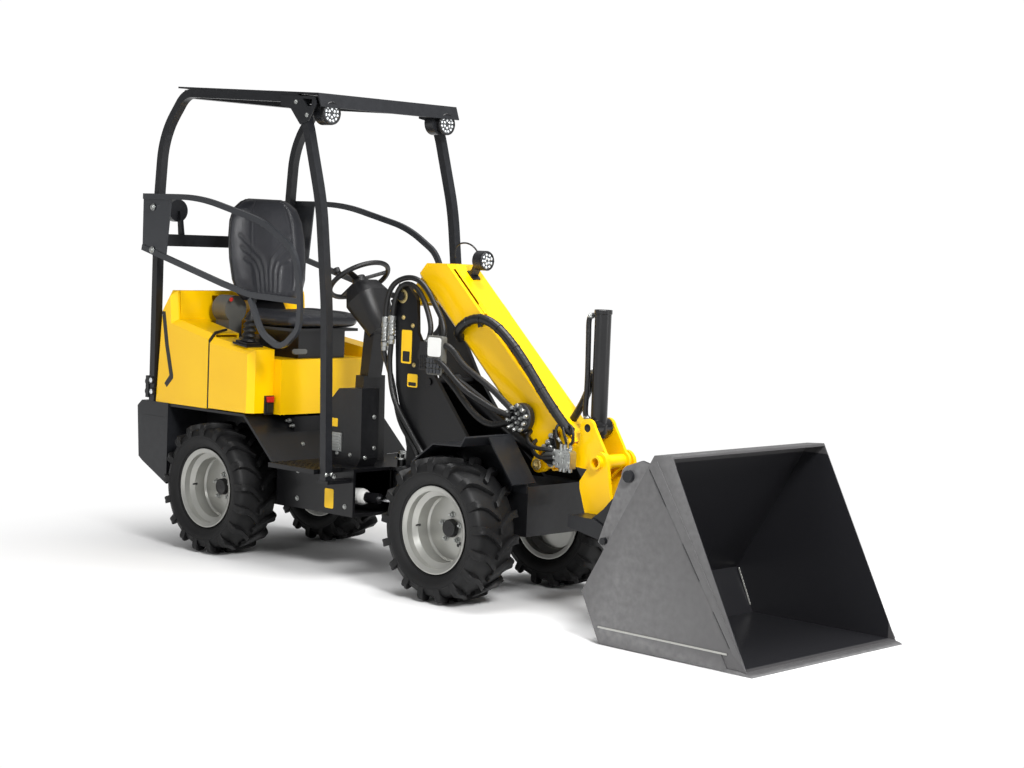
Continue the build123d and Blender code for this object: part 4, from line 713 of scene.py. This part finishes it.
bracket = Shapes()
bracket.prism(in_plane_y(-91, [(1078, 691), (1160, 782), (1190, 689), (1114, 669)]), (0, -0.006, 0))
bracket.prism(in_plane_y(-91, [(1160, 782), (1166, 778), (1196, 690), (1190, 689)]), (0, -0.03, 0))
bracket.piece("fitting_bracket", BLACK_STEEL, BOOM, bevel=1)
for x, z in ((1112, 700), (1134, 722), (1150, 752), (1148, 700)):
    place = p(x, -96, z)
    boom_metal.turned(place, RIGHT, [(0, 13), (10, 13)], 6)
    boom_metal.turned(place, (0.2, -1, 0.1), [(10, 9), (14, 9), (14, 11), (30, 11), (32, 8), (38, 7)], 16)
for x in (1223, 1248, 1272):
    for z, way in ((700, 1), (622, -1)):
        place = p(x, -124, z)
        boom_metal.turned(place, (0, 0, way), [(0, 12), (9, 12)], 6)
for x, z in ((1220, 684), (1276, 684), (1220, 638), (1276, 638), (1248, 660)):
    boom_metal.turned(p(x, -144, z), RIGHT, [(0, 9), (6, 9), (7, 7.5)], 6)
    boom_metal.turned(p(x, -144, z), RIGHT, [(7, 4), (9, 4)], 10)

# Tilt cylinder: collars, the hose along its barrel, and the thick hose down to the boom

collar = Shapes()
collar.turned(p(1320, 0, 769), UP, [(0, 38), (3, 41), (44, 41), (48, 38)], 32)
collar.turned(p(1320, 0, 1288), UP, [(0, 37), (2, 39.5), (18, 39.5), (20, 37)], 32)
collar.piece("tilt_collars", BLACK_STEEL, "tilt_cylinder", bevel=0.8)
capped("hose_tilt", [
    (1290, -12, 1282), (1268, -20, 1284), (1258, -22, 1262), (1262, -24, 1200), (1266, -26, 1110),
    (1268, -26, 1020), (1266, -26, 930), (1262, -26, 868), (1266, -22, 832),
    (1290, -14, 826)], 24, "tilt_cylinder")
capped("hose_tilt_feed", [
    (1290, 14, 1040), (1272, 18, 1042), (1258, 16, 1010), (1248, 10, 960), (1226, 4, 905), (1200, 0, 860),
    (1164, 0, 812), (1140, 0, 786)], 34, "tilt_cylinder", ends=(0,),
    across=("boom_inner", (1262, 12, 1010), (1180, 0, 830)), rib=0.5)

for body, shapes in metal.items():
    shapes.piece("hose_fittings_" + body, ZINC, body, bevel=0.4)

# Seat: backrest and cushion shaped as padded pieces with rolled edges, bolsters and sewn channels

def between(table, at):
    """The value at a place along a table of (place, value)."""
    for (a, va), (b, vb) in zip(table, table[1:]):
        if at <= b:
            return va + (vb - va) * max(0.0, (at - a) / (b - a))
    return table[-1][1]


def near_line(y, z, line):
    """Distance in millimetres from a point to a chain of points."""
    best = 1e9
    q = Vector((y, z))
    for a, b in zip(line, line[1:]):
        a, b = Vector(a), Vector(b)
        share = min(1.0, max(0.0, (q - a).dot(b - a) / (b - a).length_squared))
        best = min(best, (q - a.lerp(b, share)).length)
    return best


def pillow(name, node, rows, columns, middle, front, back, centre_y):
    """A closed padded shape. middle(v) gives the half width, front and back(u, v) give points."""
    verts, faces = [], []
    for side in (front, back):
        for i in range(rows + 1):
            for k in range(columns + 1):
                u = -cos(pi * k / columns)
                v = (1 - cos(pi * i / rows)) / 2
                verts.append(side(u, v, centre_y + u * middle(v)))
    wide = columns + 1
    size = (rows + 1) * wide
    for i in range(rows):
        for k in range(columns):
            a = i * wide + k
            faces.append((a, a + 1, a + wide + 1, a + wide))
            faces.append((size + a, size + a + wide, size + a + wide + 1, size + a + 1))
    rim = [k for k in range(wide)] + [i * wide + columns for i in range(1, rows + 1)]
    rim += [rows * wide + k for k in range(columns - 1, -1, -1)] + [i * wide for i in range(rows - 1, 0, -1)]
    for a, b in zip(rim, rim[1:] + rim[:1]):
        faces.append((a, size + a, size + b, b))
    piece = mesh_piece(name, verts, faces, VINYL, REAR)
    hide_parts(node)


BELL = 2.718              # base of the curve across a sewn channel
BACK_LOW, BACK_HIGH = 1238, 509
BACK_LEAN = 0.12          # rearward per unit of height
SEAM_FROM = 1290          # height where the side seams of the backrest begin
CUSHION_REAR, CUSHION_LONG = -862, 410
CUSHION_Z = 1164
# Half widths over the height of the backrest, and over the length of the cushion.
BACK_HALF = [(0, 172), (0.06, 202), (0.2, 231), (0.4, 243), (0.62, 242), (0.78, 229), (0.9, 200),
             (0.97, 152), (1, 106)]
CUSHION_HALF = [(0, 170), (0.08, 214), (0.25, 236), (0.7, 238), (0.9, 224), (1, 180)]
# Sewn channels of the backrest as chains of (y, z), from the outer one inwards on both sides.
CHANNELS = [
    [(-205, 1562), (-150, 1510), (-75, 1453), (-56, 1400), (-52, 1290)],
    [(120, 1562), (60, 1512), (-5, 1453), (-24, 1400), (-28, 1290)],
    [(-198, 1500), (-150, 1466), (-107, 1434), (-86, 1385), (-80, 1285)],
    [(116, 1500), (68, 1466), (26, 1434), (6, 1385), (0, 1285)],
    [(-184, 1446), (-150, 1428), (-130, 1412), (-116, 1370), (-110, 1285)],
    [(104, 1446), (70, 1428), (50, 1412), (36, 1370), (30, 1285)],
]


def rolled(u, v, across, along):
    """Share of the thickness left near the edges; a greater power makes a tighter roll."""
    return (max(0.0, 1 - abs(u) ** across)) ** 0.5 * (max(0.0, 1 - abs(2 * v - 1) ** along)) ** 0.5


def bolster(height, u, middle, width):
    """Height of the bulge along each side."""
    return height * max(0.0, 1 - ((abs(u) - middle) / width) ** 2)


def dent(depth, away, width):
    """Depth of a sewn channel at a distance from its line."""
    return depth * BELL ** (-(away / width) ** 2)


def back_height(v):
    return BACK_LOW + BACK_HIGH * v


def back_face(z):
    """Place of the backrest's leaning face at a height."""
    return -858 - BACK_LEAN * (z - 1300)


def back_front(u, v, y):
    z = back_height(v)
    depth = 44 + bolster(8, u, 0.72, 0.24) - 5 * (1 - min(1.0, abs(u) / 0.6))
    groove = 0.0
    for line in CHANNELS:
        groove = max(groove, dent(8.5, near_line(y, z, line), 7.5))
    if z > SEAM_FROM:
        groove = max(groove, dent(6, abs(abs(u) - 0.56) * 233, 7))
    return p(back_face(z) - 55 + (depth - groove) * rolled(u, v, 5, 9), y, z)


def back_rear(u, v, y):
    z = back_height(v)
    return p(back_face(z) - 55 - 36 * rolled(u, v, 8, 12), y, z)


def cushion_top(u, v, y):
    x = CUSHION_REAR + CUSHION_LONG * v
    high = 38 + bolster(10, u, 0.78, 0.2) - 10 * v
    groove = dent(6, (abs(u) - 0.6) * 236, 7)
    if abs(u) < 0.6:
        for seam in (-770, -690, -610, -530):
            groove = max(groove, dent(7, x - seam, 7))
    return p(x, y, CUSHION_Z + (high - groove) * rolled(u, v, 6, 7))


def cushion_under(u, v, y):
    return p(CUSHION_REAR + CUSHION_LONG * v, y, CUSHION_Z - 42 * rolled(u, v, 10, 10))


pillow("seat_back_pad", "seat_backrest", 84, 84, lambda v: between(BACK_HALF, v), back_front, back_rear, -3)
pillow("seat_cushion_pad", "seat_cushion", 60, 60, lambda v: between(CUSHION_HALF, v), cushion_top,
       cushion_under, 0)
piping = []
for side in (-1, 1):
    for i in range(25):
        v = (i / 24) * 0.985 if side < 0 else (1 - i / 24) * 0.985
        z = back_height(v)
        piping.append(p(back_face(z) - 50, -3 + side * (between(BACK_HALF, v) + 1.0), z))
verts, faces = tube_mesh(piping, 4.2, 8)
mesh_piece("seat_piping", verts, faces, SOFT_RUBBER, REAR)


# Blank plates, stripe, bands and panels

def rounded(x0, x1, z0, z1, y, r, steps=4):
    """A rectangle with rounded corners in the plane y, as points in metres."""
    out = []
    for cx, cz, start in ((x1 - r, z1 - r, 0), (x0 + r, z1 - r, 1), (x0 + r, z0 + r, 2), (x1 - r, z0 + r, 3)):
        for k in range(steps + 1):
            a = pi / 2 * (start + k / steps)
            out.append(p(cx + r * cos(a), y, cz + r * sin(a)))
    return out


def plate(name, x0, x1, z0, z1, y, material, body, thick=0.8, r=8):
    """A thin plate on the right side of what carries it."""
    shapes = Shapes()
    shapes.prism(rounded(x0, x1, z0, z1, y, r), (0, -thick / 1000, 0))
    shapes.piece(name, material, body)


STRIPE_XZ = [(-1214, 1166), (-1186, 1166), (-1152, 1000), (-1110, 852), (-1110, 836), (-1160, 788),
             (-1180, 806), (-1140, 850), (-1182, 1000)]
BAND_YZ = [(438.5, 712), (438.5, 1046), (404, 1086), (332, 1101), (332, 1090), (399, 1074), (428, 1042),
           (428, 712)]
for hand, tag in ((-1, "right"), (1, "left")):
    out = (0, hand, 0)
    stripe = Shapes()
    stripe.prism(in_plane_y(hand * 440.1, STRIPE_XZ), (0, hand * 0.0008, 0))
    stripe.piece("hood_stripe_" + tag, STRIPE, REAR)
    band = Shapes()
    band.prism([p(-837, hand * y, z) for y, z in BAND_YZ], (0.011, 0, 0))
    band.piece("hood_band_" + tag, SOFT_RUBBER, REAR, bevel=1)
    rims = Shapes()
    lens = Shapes()
    for x, z in ((-1277, 814), (-1272, 757)):
        rims.turned(p(x, hand * 446.5, z), out, [(0, 19), (7, 19), (9, 17), (9, 14), (6, 13)], 28)
        lens.turned(p(x, hand * 452, z), out, [(0, 13.5), (3, 12.5), (4.5, 8), (5, 2)], 24)
    rims.piece("rear_lamp_rims_" + tag, PLASTIC, REAR)
    lens.piece("rear_lamp_lenses_" + tag, GLASS, REAR, smooth=True)
    bolts = Shapes()
    for x, z in ((-1265, 1684), (-1264, 1470)):
        bolts.bolt(p(x, hand * 475.5, z), out, 13)
    bolts.piece("bar_plate_bolts_" + tag, ZINC, "bar_" + tag, bevel=0.6)

plate("tower_label_high", 229, 297, 1004, 1158, -150.3, LABEL, FRONT)
plate("tower_label_low", 276, 343, 897, 958, -150.3, LABEL, FRONT)
plate("belly_label", -102, -40, 300, 392, -300.3, LABEL, REAR)
plate("guard_label", -176, -122, 676, 716, -215.3, LABEL, REAR, r=5)
plate("bumper_seam", -1338, -1146, 634, 637, -445.3, SOFT_RUBBER, REAR, r=1, thick=0.5)
for tag, x0, x1, z0, z1 in (("side_dark", 240, 286, 1012, 1060), ("low_dark", 284, 335, 903, 920)):
    plate("tower_label_" + tag, x0, x1, z0, z1, -151.2, STRIPE, FRONT, r=4, thick=0.4)

# Quick coupler panel on the tower

panel = Shapes()
panel.prism(rounded(438, 540, 968, 1146, -162, 14), (0, -0.030, 0))
panel.piece("coupler_panel", GREY_PLASTIC, FRONT, bevel=2)
plate("coupler_panel_face", 447, 531, 1052, 1138, -191.5, WHITE, FRONT, thick=3, r=12)
pads = Shapes()
for i in range(4):
    for k in range(3):
        x0, z0 = 446 + i * 22, 976 + k * 24
        pads.prism(rounded(x0, x0 + 18, z0, z0 + 20, -191, 4), (0, -0.009, 0))
pads.piece("coupler_panel_pads", BAR_GREY, FRONT, bevel=1)
link = Shapes()
link.prism(in_plane_y(-158, [(392, 1010), (392, 1120), (440, 1150), (470, 1120), (470, 990)]), (0, -0.006, 0))
link.piece("coupler_panel_bracket", ZINC, FRONT, bevel=1)

# Latch, pins, bolts and small fittings

latch = Shapes()
latch.prism(in_plane_x(-505, oblong(-354, -298, 704, 796)), (0.009, 0, 0))
latch.prism(in_plane_x(-496, oblong(-346, -306, 712, 760)), (0.008, 0, 0))
latch.piece("hood_latch", PLASTIC, REAR, bevel=2)
grip = Shapes()
grip.prism(in_plane_x(-497, [(-344, 764), (-308, 764), (-304, 792), (-348, 792)]), (0.014, 0, 0))
grip.turned(p(-945, -212, 1236), (0.4, -1, 0.3), [(0, 6), (6, 6), (7, 11), (13, 11), (15, 8)], 18)
grip.piece("red_handles", RED, REAR, bevel=2)
for hand, tag in ((-1, "right"), (1, "left")):
    brass = Shapes()
    out = (0, hand, 0)
    brass.turned(p(225, hand * 150, 1313), out, [(0, 33), (3, 33), (4, 31), (4, 20), (2, 19)], 32)
    brass.turned(p(225, hand * 150, 1313), out, [(0, 14), (9, 14), (11, 12)], 6)
    for x, z in ((300, 1180), (236, 1215), (316, 1000), (520, 640), (640, 640)):
        brass.bolt(p(x, hand * 150, z), out, 8)
    if tag == "right":
        for z in (1080, 1240):
            brass.bolt(p(155, hand * 150, z), out, 7)
    brass.piece("tower_bolts_" + tag, BRASS, FRONT, bevel=0.5)
pins = Shapes()
for hand in (-1, 1):
    place = p(1069, hand * 110, 619)
    for profile, sides in (([(0, 25), (4, 25), (5, 23)], 28), ([(4, 17), (14, 17), (16, 15)], 6),
                           ([(14, 9), (21, 9), (22, 7)], 14)):
        pins.turned(place, (0, hand, 0), profile, sides)
pins.piece("lift_pin_nuts", BRASS, BOOM, bevel=0.6)
PIVOT_X = 105             # the pin between the two frames
steel = Shapes()
for x, y, z, way in ((-29, -215, 551, RIGHT), (-120, -215, 551, RIGHT), (45, -187, 543, AHEAD),
                     (43, -135, 734, AHEAD), (44, -131, 587, AHEAD), (65, -441, 480, AHEAD),
                     (65, -411, 480, AHEAD), (65, 441, 480, AHEAD), (65, 411, 480, AHEAD)):
    steel.bolt(p(x, y, z), way, 8)
for hand in (-1, 1):
    for x, z in ((-40, 452), (-110, 452), (-300, 452), (-300, 320), (40, 320)):
        steel.bolt(p(x, hand * 300, z), (0, hand, 0), 9)
    for x, z in ((-220, 2190), (-140, 2128)):
        steel.bolt(p(x, hand * 451, z), (0, hand, 0), 8)
steel.bolt(p(-395, -193, 566), (0.67, 0, 0.74), 8)
steel.turned(p(-488, -200, 672), RIGHT, [(-2, 12), (10, 12), (10, 8), (26, 8), (28, 6)], 12)
steel.turned(p(-462, -200, 648), RIGHT, [(-2, 10), (8, 10), (8, 7), (22, 7), (24, 5)], 12)
steel.turned(p(PIVOT_X, 0, 540), UP, [(-6, 36), (2, 36), (3, 33)], 28)
steel.turned(p(PIVOT_X, 0, 542), UP, [(0, 27), (20, 27), (21, 25), (21, 20), (30, 20), (31, 18)], 6)
steel.piece("frame_bolts", ZINC, REAR, bevel=0.5)

# Pedal pad, white sleeve of the steering barrel, and the seat's slide handle

pedal = Shapes()
for k in range(6):
    z = 570 + 13 * k
    pedal.prism(in_plane_y(-222, oblong(-166, -92, z, z + 7)), (0, -0.006, 0))
pedal.prism(in_plane_y(-214, oblong(-170, -88, 562, 650)), (0, -0.008, 0))
pedal.piece("pedal_pad", ZINC, REAR, bevel=1)
sleeve_way = Vector((312, 62, 0)).normalized()
cone = Shapes()
cone.turned(p(-30, -177.2, 355), sleeve_way, [
    (0, 25.1), (0, 31), (8, 37), (46, 40), (62, 36), (72, 30), (72, 25.1)], 28, hollow=True)
cone.piece("steering_barrel_sleeve", WHITE, "steering_cylinder", bevel=0.8)
handle = Shapes()
handle.prism(in_plane_x(-446, [
    (-238, 1004), (-228, 998), (-160, 998), (-150, 1004), (-150, 1018), (-160, 1024), (-228, 1024),
    (-238, 1018)]),
    (0.014, 0, 0))
handle.piece("seat_slide_handle", GREY_PLASTIC, REAR, bevel=3)
stem = Shapes()
stem.prism(in_plane_x(-503, oblong(-200, -188, 1006, 1016)), (0.058, 0, 0))
stem.piece("seat_slide_stem", BLACK_STEEL, REAR, bevel=1)

# Lamps with rows of small lights

def work_lamp(tag, x, y, z, r, body, rings):
    """A round lamp that faces ahead, with rings of (number of lights, distance from its middle)."""
    bezel = Shapes()
    bezel.turned(p(x, y, z), AHEAD, [(-2, r), (6, r), (8, r - 2), (8, r - 6), (3, r - 7)], 40)
    for k in range(8):
        a = 2 * pi * k / 8
        bezel.turned(p(x, y + (r - 4) * cos(a), z + (r - 4) * sin(a)), AHEAD, [(6, 2.6), (9, 2.6)], 6)
    bezel.piece("lamp_bezel_" + tag, PLASTIC, body)
    mirror = Shapes()
    mirror.turned(p(x, y, z), AHEAD, [(2, r - 6), (3.4, r - 6.2), (3.6, r - 12), (3.8, 3)], 32)
    mirror.piece("lamp_mirror_" + tag, LAMP_BACK, body)
    glass = Shapes()
    for count, out in rings:
        for k in range(count):
            a = 2 * pi * (k + 0.5) / count
            place = p(x + 3, y + out * cos(a), z + out * sin(a))
            glass.turned(place, AHEAD, [(0, 6.8), (2.5, 6.2), (4, 4.4), (4.6, 1.5)], 14)
    glass.piece("lamp_lights_" + tag, GLASS, body, smooth=True)


for tag, y in (("right", -373.315), ("left", 373.315)):
    work_lamp("roof_" + tag, -58, y, 2140, 53, REAR, ((6, 18), (12, 36)))
    housing = Shapes()
    housing.turned(p(-84, y, 2140), AHEAD, [(0, 46), (26, 51)], 32)
    housing.piece("lamp_housing_" + tag, PLASTIC, REAR)
work_lamp("boom", 610, 0, 1491, 44, BOOM, ((5, 13), (9, 29)))
hose("cable_boom_lamp", [
    (428, -18, 1500), (424, -20, 1530), (440, -20, 1562), (490, -16, 1572), (536, -10, 1556),
    (566, -6, 1520), (584, 0, 1496)], 8, BOOM)

# Bucket: weld beads along its seams, and the strips on its side edges

SIDE_Y = 513.4


def weld(shapes, start, end, steps, radius, sides, ribs):
    """A ribbed bead along the straight line between two places."""
    line = [p(*(a + (b - a) * k / steps for a, b in zip(start, end))) for k in range(steps + 1)]
    shapes.add(*tube_mesh(line, radius, sides, ribs))


beads, bright, strips, seams = Shapes(), Shapes(), Shapes(), Shapes()
for hand in (-1, 1):
    y = hand * SIDE_Y
    weld(beads, (1800, hand * 513.6, 68), (2446, hand * 513.6, 68), 70, 2.6, 6, 0.9)
    weld(bright, (1728, hand * 506.5, 200), (1799, hand * 506.5, 45), 24, 3.4, 8, 0.8)
    bright.prism(in_plane_y(y, oblong(1802, 2444, 66, 73)), (0, hand * 0.0038, 0))
    strips.prism(in_plane_y(y, [(2066, 762), (2534, 20), (2470, 74), (2024, 740)]), (0, hand * 0.0022, 0))
    for shares in ((0.02, 0.22), (0.42, 0.62), (0.78, 0.97)):
        start, end = [(2022 + 446 * s, hand * 513.9, 738 - 664 * s) for s in shares]
        weld(seams, start, end, 12, 2.4, 6, 0.5)
beads.piece("bucket_welds", WELD, "tool")
bright.piece("bucket_bright_welds", RIM, "tool")
strips.piece("bucket_edge_strips", BUCKET, "tool", bevel=0.6)
seams.piece("bucket_edge_seams", SOFT_RUBBER, "tool")

# Camera solved from the photograph, lights and floor

WHITE_LEVEL = 1.02        # light of the white ground, in the sky and far out on the floor
yaw, pitch, roll = radians(-43.19), radians(4.26), radians(2.23)
ahead = Vector((sin(yaw) * cos(pitch), cos(yaw) * cos(pitch), -sin(pitch)))
level_right = ahead.cross(Vector((0, 0, 1))).normalized()
level_up = level_right.cross(ahead)
right = level_right * cos(roll) + level_up * sin(roll)
up = right.cross(ahead)
cam_data = bpy.data.cameras.new("camera")
cam = placed("camera", cam_data)
rotation = Matrix((right, up, -ahead)).transposed()
cam.matrix_world = Matrix.Translation(Vector((6.2471, -6.4296, 1.6034))) @ rotation.to_4x4()
cam_data.sensor_width = 36
cam_data.lens = 69.22
cam_data.clip_end = 100
bpy.context.scene.camera = cam

world = bpy.data.worlds.new("world")
bpy.context.scene.world = world
world.use_nodes = True
sky = world.node_tree
join = sky.links.new
back = sky.nodes["Background"]
seen = sky.nodes.new("ShaderNodeLightPath")
where = sky.nodes.new("ShaderNodeTexCoord")
split = sky.nodes.new("ShaderNodeSeparateXYZ")
join(where.outputs["Generated"], split.inputs[0])
rise = ranged(sky, split.outputs["Z"], {"From Min": -0.1, "From Max": 0.9, "To Min": 0.04, "To Max": 0.60})
strength = sky.nodes.new("ShaderNodeMix")
join(seen.outputs["Is Camera Ray"], strength.inputs["Factor"])
join(rise.outputs[0], strength.inputs["A"])
strength.inputs["B"].default_value = WHITE_LEVEL
join(strength.outputs[0], back.inputs["Strength"])
back.inputs["Color"].default_value = (1, 1, 1, 1)


def lamp(name, place, aim, size, power):
    """A light of a size in metres that points from its place to an aim, with its power in watts."""
    data = bpy.data.lights.new(name, "AREA")
    data.shape = "RECTANGLE"
    data.size, data.size_y = size
    data.energy = power
    obj = placed(name, data)
    place, aim = Vector(place), Vector(aim)
    obj.location = place
    obj.rotation_mode = "QUATERNION"
    obj.rotation_quaternion = (aim - place).to_track_quat("-Z", "Y")


lamp("key_light", (5.6, -2.6, 5.0), (0, 0, 0.7), (1.8, 1.8), 560)
lamp("side_light", (1.5, -6.5, 2.6), (0.4, 0, 0.7), (1.2, 2.0), 60)
lamp("top_light", (0.2, 0.4, 6.0), (0, 0, 0.5), (3.0, 3.0), 300)
lamp("front_light", (7.0, 2.5, 2.6), (0.5, 0, 0.8), (1.5, 2.5), 90)

floor_mesh = bpy.data.meshes.new("floor")
floor_mesh.from_pydata([(-60, -60, 0), (60, -60, 0), (60, 60, 0), (-60, 60, 0)], [], [(0, 1, 2, 3)])
floor = placed("floor", floor_mesh)
floor_finish = surface("floor_finish", (0.76, 0.76, 0.76, 1), rough=0.85, vary=0.01, scale=1)
ground = floor_finish.node_tree
join = ground.links.new
glow = ground.nodes.new("ShaderNodeEmission")
glow.inputs["Strength"].default_value = WHITE_LEVEL
far = ground.nodes.new("ShaderNodeVectorMath")
far.operation = "LENGTH"
where = ground.nodes.new("ShaderNodeNewGeometry")
join(where.outputs["Position"], far.inputs[0])
ease = ranged(ground, far.outputs["Value"], {"From Min": 1.5, "From Max": 3.2, "To Min": 0.0})
ease.interpolation_type = "SMOOTHSTEP"
both = ground.nodes.new("ShaderNodeMixShader")
join(ease.outputs[0], both.inputs["Fac"])
out = next(n for n in ground.nodes if n.type == "OUTPUT_MATERIAL")
join(out.inputs[0].links[0].from_socket, both.inputs[1])
join(glow.outputs[0], both.inputs[2])
join(both.outputs[0], out.inputs[0])
floor_mesh.materials.append(floor_finish)

scene = bpy.context.scene
scene.view_settings.view_transform = "Standard"
scene.view_settings.look = "None"
scene.view_settings.exposure = 0.0
